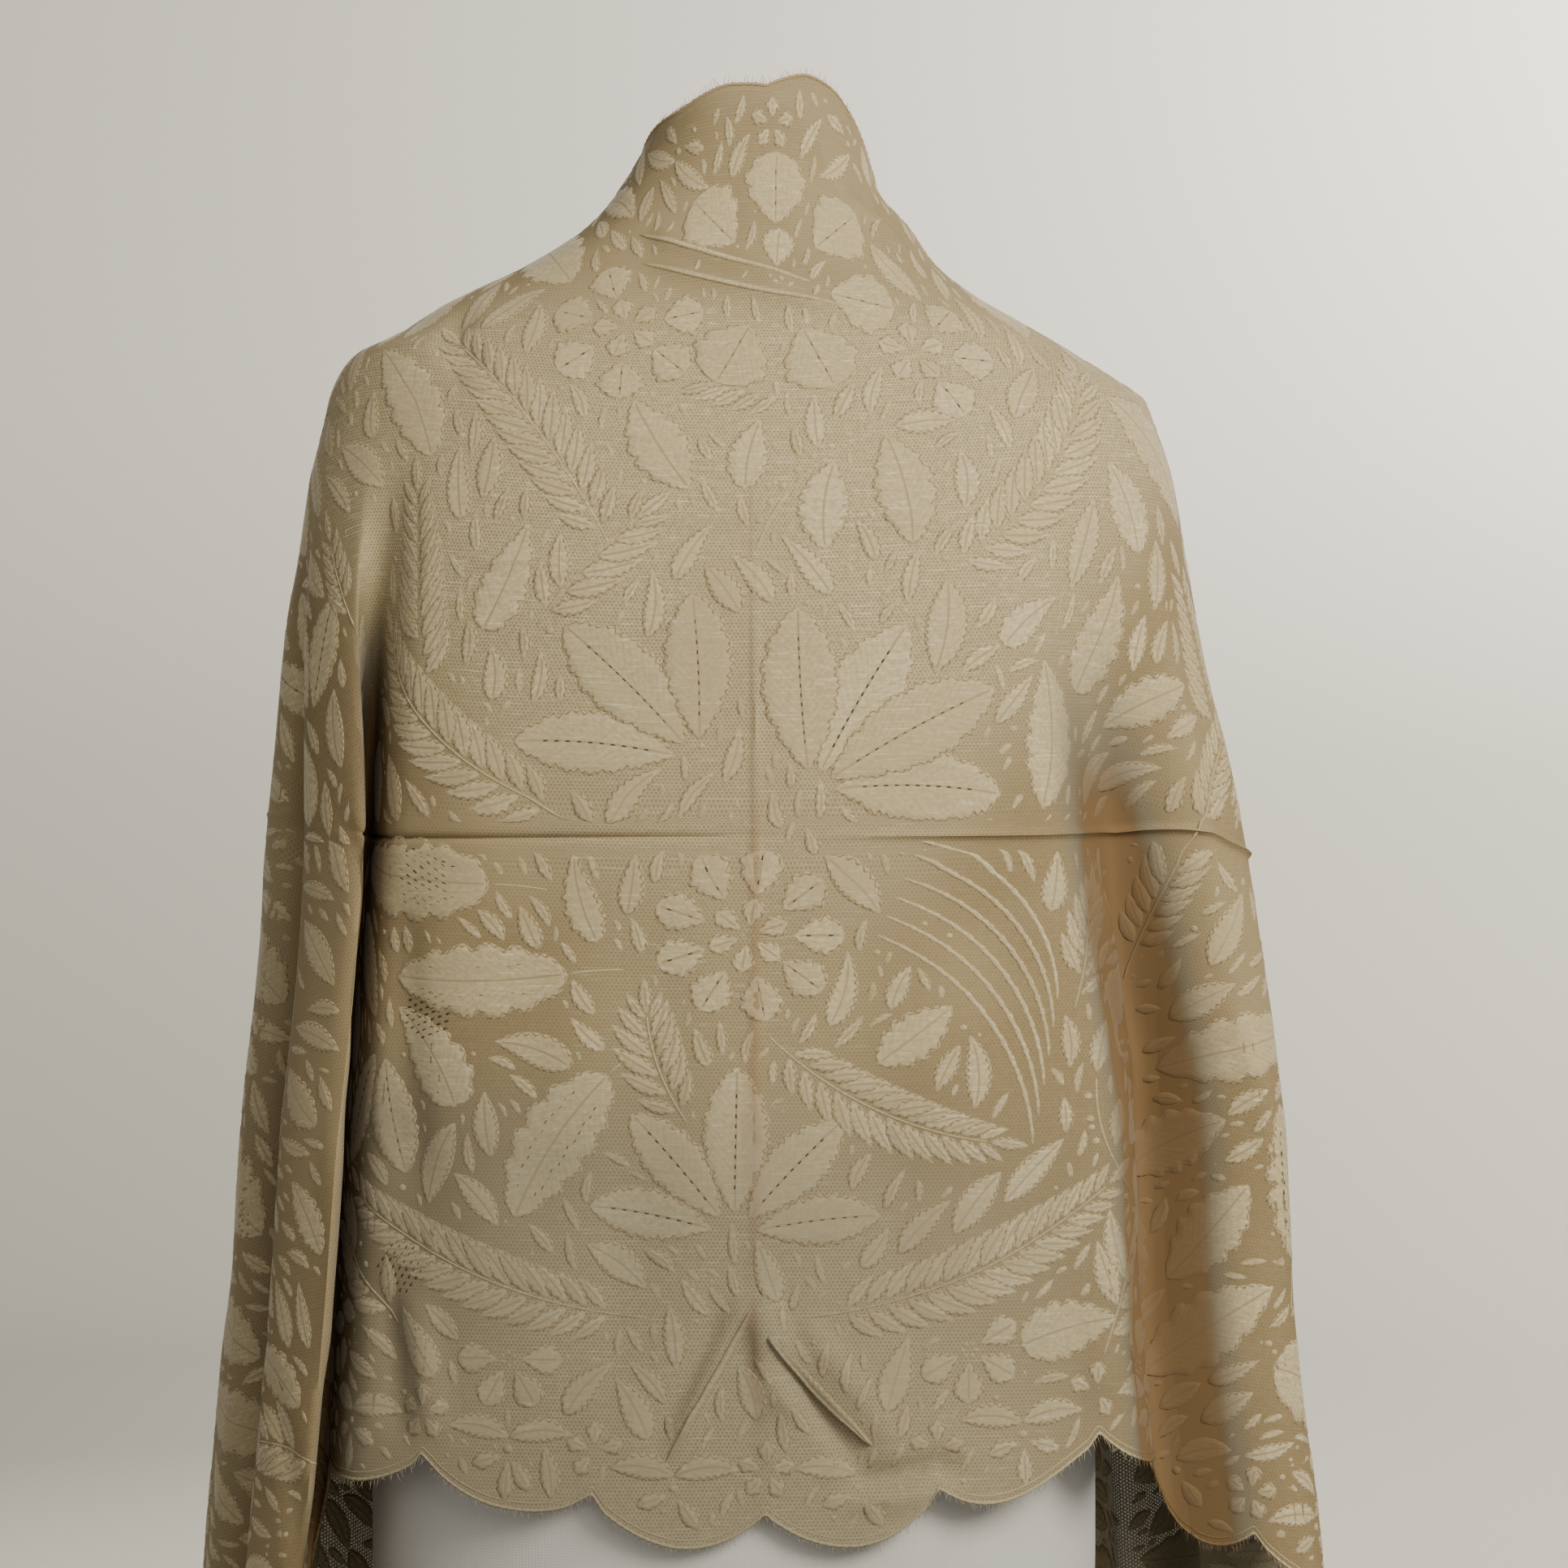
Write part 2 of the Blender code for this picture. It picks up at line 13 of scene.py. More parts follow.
import bmesh
import bpy
import numpy as np
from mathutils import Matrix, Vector

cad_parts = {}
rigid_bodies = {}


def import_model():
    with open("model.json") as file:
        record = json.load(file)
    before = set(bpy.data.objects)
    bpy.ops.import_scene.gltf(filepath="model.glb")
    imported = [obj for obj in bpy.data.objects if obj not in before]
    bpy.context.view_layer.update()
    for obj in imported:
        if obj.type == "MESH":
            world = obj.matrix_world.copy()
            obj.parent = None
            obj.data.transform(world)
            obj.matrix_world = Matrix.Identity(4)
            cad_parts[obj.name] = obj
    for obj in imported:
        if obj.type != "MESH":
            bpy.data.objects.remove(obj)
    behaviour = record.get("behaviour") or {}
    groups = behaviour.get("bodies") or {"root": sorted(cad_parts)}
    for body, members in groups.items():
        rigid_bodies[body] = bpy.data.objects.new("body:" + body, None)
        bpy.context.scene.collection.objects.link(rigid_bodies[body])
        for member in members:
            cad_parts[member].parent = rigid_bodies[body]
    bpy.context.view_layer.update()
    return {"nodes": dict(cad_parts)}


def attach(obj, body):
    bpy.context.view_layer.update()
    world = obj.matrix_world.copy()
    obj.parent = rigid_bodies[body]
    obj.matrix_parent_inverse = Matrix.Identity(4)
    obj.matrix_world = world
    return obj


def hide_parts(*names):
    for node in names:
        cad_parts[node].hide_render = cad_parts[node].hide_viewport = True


bl_info = {
    "name": "Lace Shawl on a Dress Form",
    "version": (1, 0, 0),
    "blender": (4, 5, 0),
    "location": "3D View > Sidebar > Lace Shawl",
    "description": "Builds a draped lace shawl, the form and stand that carry it, and a plain stage",
    "category": "Add Mesh",
}

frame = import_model()
BODY = "root"
MM = 1000
TENTHS = 10000


def rows_of(columns, units, *rows):
    """Rows of a table with named columns. A column's unit is how many of it make one metre, MM for
    millimetres and TENTHS for tenths of them, and 1 for degrees and for plain yes or no."""
    row_of = namedtuple("Row", columns)
    return [row_of(*(value / unit for value, unit in zip(row, units))) for row in rows]


# The form, from its flat underside to the dome of its neck.
FORM_SIDES = 96
FORM_RING_STEP = 0.012
FORM_ROUNDNESS = 2.25
NECK_LEAN = 0.006
BUST_HEIGHT = 1.19
BUST_ANGLE = 150.0
BUST_RISE = 0.021
BUST_HALF_ANGLE = 34.0
BUST_HALF_HEIGHT = 0.085
FORM_TOP = 1.495
FORM_SECTIONS = rows_of(
    "height half_width back front", (MM, MM, MM, MM),
    (700, 162, 108, 82), (712, 170, 117, 90), (780, 177, 124, 97), (840, 177, 125, 99),
    (900, 166, 115, 98), (960, 145, 97, 94), (1020, 127, 82, 88), (1080, 128, 84, 91),
    (1140, 142, 96, 100), (1200, 158, 107, 110), (1250, 172, 109, 102), (1290, 186, 101, 87),
    (1315, 195, 92, 75), (1330, 197, 85, 67), (1343, 194, 79, 62), (1358, 174, 73, 58),
    (1374, 148, 67, 55), (1390, 120, 60, 52), (1405, 96, 54, 49), (1420, 73, 50, 47),
    (1437, 57, 47, 47), (1455, 47, 43, 46), (1475, 40, 37, 40), (1487, 28, 26, 28), (1493, 14, 13, 14),
)

# The shawl's rings, folds and edges, as its solids have them.
CLOTH_CLEAR = 0.0011
SHAWL_ROUNDNESS = 2.2
FRONT_EDGE_ANGLE = 167.0
SCALLOP_PITCH = 0.08
SCALLOP_DEPTH = 0.018
SCALLOP_NOTCH_AT = 0.016
SCALLOP_POWER = 0.7
FRONT_SCALLOP_ANGLE = 2.5
NECK_SCALLOP_DEPTH = 0.005
UPPER_DROP = 0.1
FOLDS_START_HEIGHT = 1.335
SPREAD_HEIGHT = 0.93

SHAWL_SECTIONS = rows_of(
    "height left right back front", (MM, MM, MM, MM, MM),
    (380, 276, 301, 124, 128), (600, 268, 293, 132, 130), (784, 255, 283, 135, 133),
    (846, 249, 276, 131, 135), (912, 244, 269, 122, 137), (983, 240, 266, 113, 139),
    (1056, 232, 255, 110, 142), (1120, 226, 246, 111, 145), (1170, 222, 238, 113, 145),
    (1225, 218, 228, 113, 133), (1274, 212, 220, 108, 107), (1303, 208, 215, 101, 94),
    (1331, 201, 206, 92, 82), (1341, 199, 202, 88, 78), (1352, 195, 187, 84, 73),
    (1363, 187, 169, 80, 69), (1374, 165, 151, 75, 65), (1388, 143, 126, 68, 61),
    (1408, 102, 100, 60, 56), (1428, 72, 86, 54, 53), (1446, 57, 71, 52, 51), (1474, 42, 64, 51, 49),
    (1505, 36, 57, 49, 47),
)

# A fold is a ridge (out) or a valley (in, negative) down the cloth, which may lean over its
# neighbour. Angles are in degrees round the form from the middle of its back, towards +X.
FOLDS = rows_of(
    "high_angle low_angle out lean half_angle starts full", (1, 1, MM, MM, 1, MM, MM),
    (-47, -50, -40, -26, 8.5, 1325, 1120), (-60, -62, 1, 46, 10.5, 1330, 1100),
    (-76, -75, -26, 0, 8, 1310, 1050), (-93, -93, 5, 0, 10, 1320, 1100),
    (-110, -108, -44, 0, 9.5, 1325, 1060), (-122, -121, 14, 0, 8, 1330, 1100),
    (-134, -134, -34, 0, 8, 1310, 1050), (-148, -148, 10, 0, 9, 1300, 1000),
    (-158, -158, -14, 0, 6, 1280, 950), (46, 57, -56, 0, 18, 1320, 980), (74, 80, 6, 0, 10, 1330, 1050),
    (108, 107, -50, 0, 9.5, 1325, 1060), (121, 120, 14, 0, 8, 1330, 1100),
    (133, 133, -36, 0, 8, 1310, 1050), (147, 147, 10, 0, 9, 1300, 1000),
    (158, 158, -14, 0, 6, 1280, 950),
)

NECK_EDGE = rows_of(
    "angle height", (1, MM),
    (-167, 1240), (-165.5, 1290), (-162, 1335), (-155, 1370), (-145, 1397), (-128, 1422), (-108, 1446),
    (-88, 1470), (-62, 1475), (-40, 1477), (-22, 1483), (-5, 1489), (18, 1494), (32, 1496), (46, 1492),
    (60, 1483), (80, 1462), (95, 1450), (115, 1437), (130, 1420), (145, 1396), (155, 1371), (162, 1335),
    (165.5, 1290), (167, 1240),
)
HEM = rows_of(
    "angle height", (1, MM),
    (-167, 500), (-148, 470), (-132, 430), (-120, 410), (-108, 490), (-93, 600), (-76, 670), (-60, 715),
    (-52, 785), (-43, 852), (-22, 845), (-10, 833), (0, 828), (11, 830), (20, 840), (34, 858),
    (46, 858), (56, 832), (66, 800), (78, 788), (91, 793), (106, 700), (120, 520), (132, 455),
    (147, 510), (167, 570),
)

# Each stretch of cloth with the size that it is cut to, width round the form by length down it.
Stretch = namedtuple("Stretch", "name starts ends flat")
STRETCHES = (
    Stretch("shawl_left_front", -167.0, -127.0, (0.19, 0.89)),
    Stretch("shawl_left_arm_drape", -127.0, -84.0, (0.165, 0.935)),
    Stretch("shawl_left_pleat", -84.0, -55.0, (0.13, 0.72)),
    Stretch("shawl_back", -55.0, 62.0, (0.45, 0.565)),
    Stretch("shawl_right_wing", 62.0, 92.0, (0.082, 0.7)),
    Stretch("shawl_right_arm_drape", 92.0, 127.0, (0.135, 0.86)),
    Stretch("shawl_right_front", 127.0, 167.0, (0.2, 0.84)),
)
COLLAR_CUT = (0.21, 0.06)

# The storage crease: one sharp line round the whole cloth where it was kept folded.
CREASE_LINE = rows_of(
    "angle height", (1, MM),
    (-167, 1118), (-120, 1134), (-84, 1139), (-50, 1129), (0, 1130), (50, 1131), (62, 1133), (92, 1113),
    (130, 1119), (167, 1112),
)
CREASE_BAND = 0.009
CREASE_HALF_WIDTH = 0.0032

# Rows of the cloth grid down to the shoulder line, down to the storage crease, across its band
# and down to the hem.
ROW_COUNTS = (54, 44, 12, 72)
FLATTEN_STEP = 4
COLUMN_STEP = 0.005
CENTRE_CREASE_AT = 0.011
CENTRE_COLUMNS = (-0.0055, -0.0035, -0.0018, 0.0, 0.0018, 0.0035, 0.0055)
FINE_COLUMNS = (-0.034, 0.046)
NET_THICKNESS = 0.00036
LEAST_CLEAR = 0.0006


def through(known, values, at):
    """A curve through the known values that never swings past them: cubic pieces whose slope at
    each value is the harmonic mean of the slopes on its two sides, and zero at a peak."""
    known, values, at = (np.asarray(a, float) for a in (known, values, at))
    gap = np.diff(known)
    slope = np.diff(values) / gap
    before, after = slope[:-1], slope[1:]
    same_way = before * after > 0
    weight_1, weight_2 = 2 * gap[1:] + gap[:-1], gap[1:] + 2 * gap[:-1]
    safe_before, safe_after = np.where(same_way, before, 1.0), np.where(same_way, after, 1.0)
    mean = (weight_1 + weight_2) / (weight_1 / safe_before + weight_2 / safe_after)
    tangent = np.concatenate([slope[:1], np.where(same_way, mean, 0.0), slope[-1:]])
    at = np.clip(at, known[0], known[-1])
    piece = np.clip(np.searchsorted(known, at, side="right") - 1, 0, len(gap) - 1)
    t = (at - known[piece]) / gap[piece]
    return (
        values[piece] * (1 + 2 * t) * (1 - t) ** 2
        + tangent[piece] * gap[piece] * t * (1 - t) ** 2
        + values[piece + 1] * t * t * (3 - 2 * t)
        - tangent[piece + 1] * gap[piece] * t * t * (1 - t)
    )


def column_of(table, name):
    return [getattr(row, name) for row in table]


def at_height(table, name, height):
    return through(column_of(table, "height"), column_of(table, name), height)


def at_angle(table, angle):
    return through(column_of(table, "angle"), column_of(table, "height"), angle)


def ease(t):
    """0 up to t = 0, 1 from t = 1, and level at both."""
    t = np.clip(t, 0, 1)
    return t * t * (3 - 2 * t)


def bell(t):
    """1 at t = 0, falling smoothly to 0 at t = -1 and 1."""
    return np.where(np.abs(t) < 1, 0.5 + 0.5 * np.cos(np.pi * np.clip(t, -1, 1)), 0.0)


def rounded(t, roundness):
    """The coordinate of a superellipse, from the sine or cosine of its angle."""
    return np.sign(t) * np.abs(t) ** (2 / roundness)


def unit(vectors):
    return vectors / np.maximum(np.linalg.norm(vectors, axis=-1, keepdims=True), 1e-12)


def lengths_along(points):
    """Distance along each line of points from its start."""
    steps = np.linalg.norm(np.diff(points, axis=0), axis=-1)
    return np.concatenate([np.zeros((1, *steps.shape[1:])), np.cumsum(steps, axis=0)])


def form_middle(height):
    """The form's neck leans a little towards its front."""
    return NECK_LEAN * ease((height - 1.36) / 0.1)


def bust_rise(x, y, height):
    """How far the mounds stand out, for a point in any distance from the form's middle."""
    towards = bell((np.degrees(np.arctan2(np.abs(x), -y)) - BUST_ANGLE) / BUST_HALF_ANGLE)
    return BUST_RISE * towards * bell((height - BUST_HEIGHT) / BUST_HALF_HEIGHT)


def either(table, first, second, is_first, height):
    """One of two columns of a table at each height, the first where is_first holds."""
    return np.where(is_first, at_height(table, first, height), at_height(table, second, height))


def form_plan(angle, height):
    """Points of the form's outside: a superellipse with its own depth at the back and the front,
    raised by two soft mounds at the bust."""
    turn = np.radians(angle)
    deep = either(FORM_SECTIONS, "back", "front", np.cos(turn) > 0, height)
    x = at_height(FORM_SECTIONS, "half_width", height) * rounded(np.sin(turn), FORM_ROUNDNESS)
    y = -deep * rounded(np.cos(turn), FORM_ROUNDNESS)
    grown = 1 + bust_rise(x, y, height) / np.maximum(np.hypot(x, y), 1e-6)
    return x * grown, y * grown + form_middle(height)


def form_reach(x, y, height):
    """Distance of the form's outside from its middle, towards each point, and the point's own."""
    across = y - form_middle(height)
    wide = at_height(FORM_SECTIONS, "half_width", height)
    deep = either(FORM_SECTIONS, "back", "front", across < 0, height)
    reach = np.hypot(x, across)
    share = (np.abs(x) / wide) ** FORM_ROUNDNESS + (np.abs(across) / deep) ** FORM_ROUNDNESS
    share = share ** (1 / FORM_ROUNDNESS)
    return reach / np.maximum(share, 1e-9) + bust_rise(x, across, height), reach


def clear_of_form(x, y, height, clearance):
    """Moves points out level until they are a clearance off the form as it is a clearance below
    them, which keeps cloth off the slope of the shoulders too."""
    lower = np.asarray(height) - clearance
    edge, reach = form_reach(x, y, lower)
    edge = np.where(lower > FORM_TOP, 0.0, edge + clearance)
    grown = np.maximum(1.0, edge / np.maximum(reach, 1e-9))
    middle = form_middle(lower)
    return x * grown, (y - middle) * grown + middle


def even_ring(angle, height):
    """The cloth's ring without folds: a superellipse with its own reach on all four sides."""
    turn = np.radians(angle)
    wide = either(SHAWL_SECTIONS, "left", "right", turn < 0, height)
    deep = either(SHAWL_SECTIONS, "back", "front", np.cos(turn) > 0, height)
    x = wide * rounded(np.sin(turn), SHAWL_ROUNDNESS)
    y = -deep * rounded(np.cos(turn), SHAWL_ROUNDNESS)
    return x, y + form_middle(height)


def fold_moves(angle, height):
    """How far the folds move the ring, square to itself and along itself."""
    out = np.zeros(np.broadcast(angle, height).shape)
    along = np.zeros(out.shape)
    for fold in FOLDS:
        down = ease((fold.starts - height) / (fold.starts - fold.full))
        middle = fold.high_angle + (fold.low_angle - fold.high_angle) * down
        share = down * bell((angle - middle) / fold.half_angle)
        out += fold.out * share
        along += fold.lean * share
    return out, along


def shawl_plan(angle, height):
    """Middle of the cloth: the even ring moved by the folds, then off the form."""
    step = 0.5
    x, y = even_ring(angle, height)
    x_after, y_after = even_ring(angle + step, height)
    x_before, y_before = even_ring(angle - step, height)
    along_x, along_y = x_after - x_before, y_after - y_before
    length = np.maximum(np.hypot(along_x, along_y), 1e-9)
    out, along = fold_moves(angle, height)
    x = x + (out * along_y + along * along_x) / length
    y = y + (along * along_y - out * along_x) / length
    return clear_of_form(x, y, height, CLOTH_CLEAR)


def scalloped(distance, depth):
    """How far a scalloped edge reaches out at a distance along it, round between its notches."""
    share = np.abs(np.sin(np.pi * (distance - SCALLOP_NOTCH_AT) / SCALLOP_PITCH))
    return depth * share**SCALLOP_POWER


def fine_angles():
    return np.linspace(-FRONT_EDGE_ANGLE, FRONT_EDGE_ANGLE, 2001)


def edge_lengths(table):
    """Distance along an edge's smooth curve from the middle of the back, at the fine angles."""
    fine = fine_angles()
    level = at_angle(table, fine)
    x, y = shawl_plan(fine, level)
    length = lengths_along(np.stack([x, y, level], axis=-1))
    return fine, level, length - np.interp(0.0, fine, length)


def edge_heights(table, outward, angles):
    """Height of an edge of the shawl at each column: the table's curve with scallops that reach
    outward from it, measured along the curve from the middle of the back."""
    fine, level, length = edge_lengths(table)
    depth = scalloped(length, abs(outward))
    return np.interp(angles, fine, level + np.sign(outward) * depth)


def notch_angles(table):
    """Angles of the notches of a scalloped edge, and of the middles of its tongues."""
    fine, _, length = edge_lengths(table)
    first = math.ceil((length[0] - SCALLOP_NOTCH_AT) / SCALLOP_PITCH)
    last = math.floor((length[-1] - SCALLOP_NOTCH_AT) / SCALLOP_PITCH)
    notches = SCALLOP_NOTCH_AT + SCALLOP_PITCH * np.arange(first, last + 1)
    middles = SCALLOP_NOTCH_AT + SCALLOP_PITCH * (np.arange(first - 1, last + 1) + 0.5)
    middles = middles[(middles > length[0]) & (middles < length[-1])]
    return np.interp(notches, length, fine), np.interp(middles, length, fine)


def front_scallop(angles, down):
    """Moves the two front edges in and out, so that they are scalloped as the hem is."""
    near_edge = ease((np.abs(angles) - (FRONT_EDGE_ANGLE - 6)) / 6)
    return angles - np.sign(angles) * near_edge * (
        FRONT_SCALLOP_ANGLE - scalloped(down, FRONT_SCALLOP_ANGLE)
    )


# A crease laid into the cloth: a ridge (out) or trough (in, negative) along a line between two places
# on it, bowed sideways in the middle. A sharp one has a thin edge, a soft one is round.
CREASES = rows_of(
    "angle_1 height_1 angle_2 height_2 bow half_width out sharp",
    (1, MM, 1, MM, 1, TENTHS, TENTHS, 1),
    (2.2, 1300, 1.7, 905, 0, 36, 14, 1), (1.7, 915, 3.4, 832, 0, 36, 13, 1),
    (1.6, 930, -5.4, 846, 0.3, 44, 30, 0), (0.2, 920, -7.6, 850, 0.3, 65, -26, 0),
    (2, 902, 11.8, 838, 0.2, 56, -42, 0), (4.8, 916, 14.8, 848, 0.2, 60, 24, 0),
    (1.6, 926, 5, 862, 0, 90, 46, 0), (8, 838, 21, 847, 0.6, 60, -44, 0),
    (8.5, 829, 20, 838, 0.6, 50, 30, 0), (-27, 1419, 16, 1386, 1.5, 60, 34, 0),
    (-21, 1404, 23, 1372, 1.5, 50, 28, 0), (50, 1444, 60, 1415, -1, 50, -46, 1),
    (44, 1440, 54, 1408, -1, 70, 32, 0), (-58, 1385, -34, 1345, 1, 90, -28, 0),
    (66, 1372, 36, 1340, 1, 90, -28, 0), (-22, 1318, -4, 1314, 0, 40, 10, 0),
    (-30, 1296, -2, 1290, 0, 35, -9, 0), (-8, 1304, 16, 1298, 0, 40, 9, 0),
    (-16, 1271, 20, 1262, 0, 45, -9, 0), (12, 1282, 34, 1270, 0, 40, 10, 0),
    (-36, 1262, -14, 1251, 0, 40, 9, 0), (-30, 1230, -24, 880, -3, 260, 30, 0),
    (-10, 1115, -12, 860, 2, 230, -28, 0), (20, 1120, 27, 865, -3, 250, 34, 0),
    (42, 1122, 55, 990, 2, 100, 34, 0), (39, 1105, 52, 965, 2, 110, -32, 0),
    (-40, 1118, -33, 950, -2, 110, -26, 0), (-40, 930, -36, 850, 1, 80, -32, 0),
    (-36, 925, -31, 850, 1, 80, 28, 0), (40, 945, 37, 862, -1, 90, 30, 0),
    (47, 950, 44, 862, -1, 80, -36, 0), (-66, 1150, -58, 1020, 2, 60, -20, 0),
    (-63, 1010, -57, 870, -2, 60, 20, 0), (-70, 900, -62, 760, 1.5, 70, -22, 0),
    (68, 1250, 74, 1090, 1, 80, -18, 0), (80, 1210, 83, 1000, -1, 90, 20, 0),
    (70, 1060, 78, 900, 1, 75, 20, 0), (85, 980, 81, 820, 1, 80, -20, 0),
    (-88, 1280, -95, 1060, 2, 100, 20, 0), (-98, 1200, -92, 960, -2, 90, -22, 0),
    (-90, 920, -97, 700, 2, 100, 24, 0), (96, 1260, 103, 1050, 2, 95, 20, 0),
    (99, 1040, 95, 830, -2, 90, -22, 0), (112, 860, 118, 640, 2, 100, 24, 0),
    (-126, 1330, -150, 1180, 3, 110, -22, 0), (-122, 1290, -146, 1120, 3, 110, 20, 0),
    (-150, 1060, -141, 860, -2, 100, 22, 0), (-162, 960, -154, 740, 2, 90, -20, 0),
    (-140, 760, -150, 560, 2, 100, 22, 0), (124, 1335, 149, 1200, -3, 100, -20, 0),
    (120, 1300, 144, 1140, -3, 120, 22, 0), (152, 1080, 140, 900, 2, 95, -22, 0),
    (163, 940, 153, 770, -2, 100, 20, 0), (142, 800, 151, 620, -2, 100, -22, 0),
    (-160, 505, -142, 470, 0.5, 70, -26, 0), (160, 575, 143, 520, 0.5, 70, -26, 0),
)
CREASE_STEPS = 16


def away_from_line(points, line):
    """Distance of points from a line of points, and how far along it they are, from 0 to 1."""
    start, step = line[:-1], np.diff(line, axis=0)
    share = ((points[:, None] - start) * step).sum(-1) / (step * step).sum(-1)
    share = np.clip(share, 0, 1)
    gap = np.linalg.norm(points[:, None] - start - share[..., None] * step, axis=-1)
    nearest = gap.argmin(axis=1)
    pick = np.arange(len(points))
    return gap[pick, nearest], (nearest + share[pick, nearest]) / len(step)


def crease_profile(gap, half_width, sharp):
    """Across a crease: a soft one is a bell, a sharp one falls from a thin edge as 1 / e to the
    distance over a third of its half width."""
    if sharp:
        return np.exp(-3.0 * gap / half_width)
    return bell(gap / (1.6 * half_width))


def crease_moves(angles, heights, points):
    """How far each grid point moves out for the listed creases and the storage crease."""
    moves = np.zeros(heights.shape)
    flat_points = points.reshape(-1, 3)
    for crease in CREASES:
        t = np.linspace(0, 1, CREASE_STEPS)
        angle = crease.angle_1 + (crease.angle_2 - crease.angle_1) * t
        angle += crease.bow * np.sin(np.pi * t)
        height = crease.height_1 + (crease.height_2 - crease.height_1) * t
        line = np.stack([*shawl_plan(angle, height), height], axis=-1)
        reach = 2.5 * crease.half_width
        low, high = line.min(axis=0) - reach, line.max(axis=0) + reach
        where = np.flatnonzero(np.all((flat_points > low) & (flat_points < high), axis=1))
        gap, along = away_from_line(flat_points[where], line)
        fade = ease(along / 0.25) * ease((1 - along) / 0.25)
        profile = crease_profile(gap, crease.half_width, crease.sharp)
        moves.ravel()[where] += crease.out * profile * fade
    gap = np.abs(heights - at_angle(CREASE_LINE, angles))
    return moves + at_angle(STORAGE_OUT, angles) * crease_profile(gap, CREASE_HALF_WIDTH, True)


# The storage crease is a trough at the left of the back and a ridge at its right, and fades and
# turns over again round the rest of the cloth. Here a height is how far it stands out.
STORAGE_OUT = rows_of(
    "angle height", (1, TENTHS),
    (-167, 12), (-150, -12), (-120, 12), (-92, 8), (-66, 0), (-54, -26), (-20, -27), (-7, -19), (1, -8),
    (14, 14), (25, 28), (60, 27), (100, 18), (128, -12), (167, -14),
)


def spaced_heights(angles, start, end, count):
    """Heights that divide each column between two heights evenly along the cloth."""
    falling = np.linspace(0, 1, 80)[:, None]
    heights = start + (end - start) * falling
    x, y = shawl_plan(np.broadcast_to(angles, heights.shape), heights)
    length = lengths_along(np.stack([x, y, heights], axis=-1))
    wanted = np.linspace(0, 1, count + 1)[:, None] * length[-1]
    columns = range(len(angles))
    return np.stack([np.interp(wanted[:, k], length[:, k], heights[:, k]) for k in columns], -1)


def column_angles():
    """Angles of the columns, even along the folded cloth at SPREAD_HEIGHT, with more for each
    seam and scallop notch and beside the centre crease."""
    fine = fine_angles()
    x, y = shawl_plan(fine, np.full(fine.shape, SPREAD_HEIGHT))
    length = lengths_along(np.stack([x, y], axis=-1))
    even = np.linspace(0, length[-1], int(length[-1] / COLUMN_STEP) + 1)
    seams = [stretch.starts for stretch in STRETCHES[1:]]
    asked = np.concatenate([seams, notch_angles(HEM)[0], notch_angles(NECK_EDGE)[0]])
    beside = np.arange(*FINE_COLUMNS, COLUMN_STEP / 2)
    beside = np.concatenate([CENTRE_COLUMNS, beside[np.abs(beside) > 0.0072]])
    centre = np.interp(0.0, fine, length) + CENTRE_CREASE_AT + beside
    wanted = np.sort(np.concatenate([np.interp(asked, fine, length), centre]))
    wanted = wanted[np.concatenate([[True], np.diff(wanted) > 0.0012])]
    gap = np.abs(even[:, None] - wanted).min(axis=1)
    even = even[(gap > 0.45 * COLUMN_STEP) | (even == 0) | (even == length[-1])]
    lengths = np.sort(np.concatenate([even, wanted]))
    angles = np.interp(lengths, length, fine)
    for seam in seams:
        angles[np.argmin(np.abs(angles - seam))] = seam
    return angles, lengths - np.interp(0.0, fine, length)


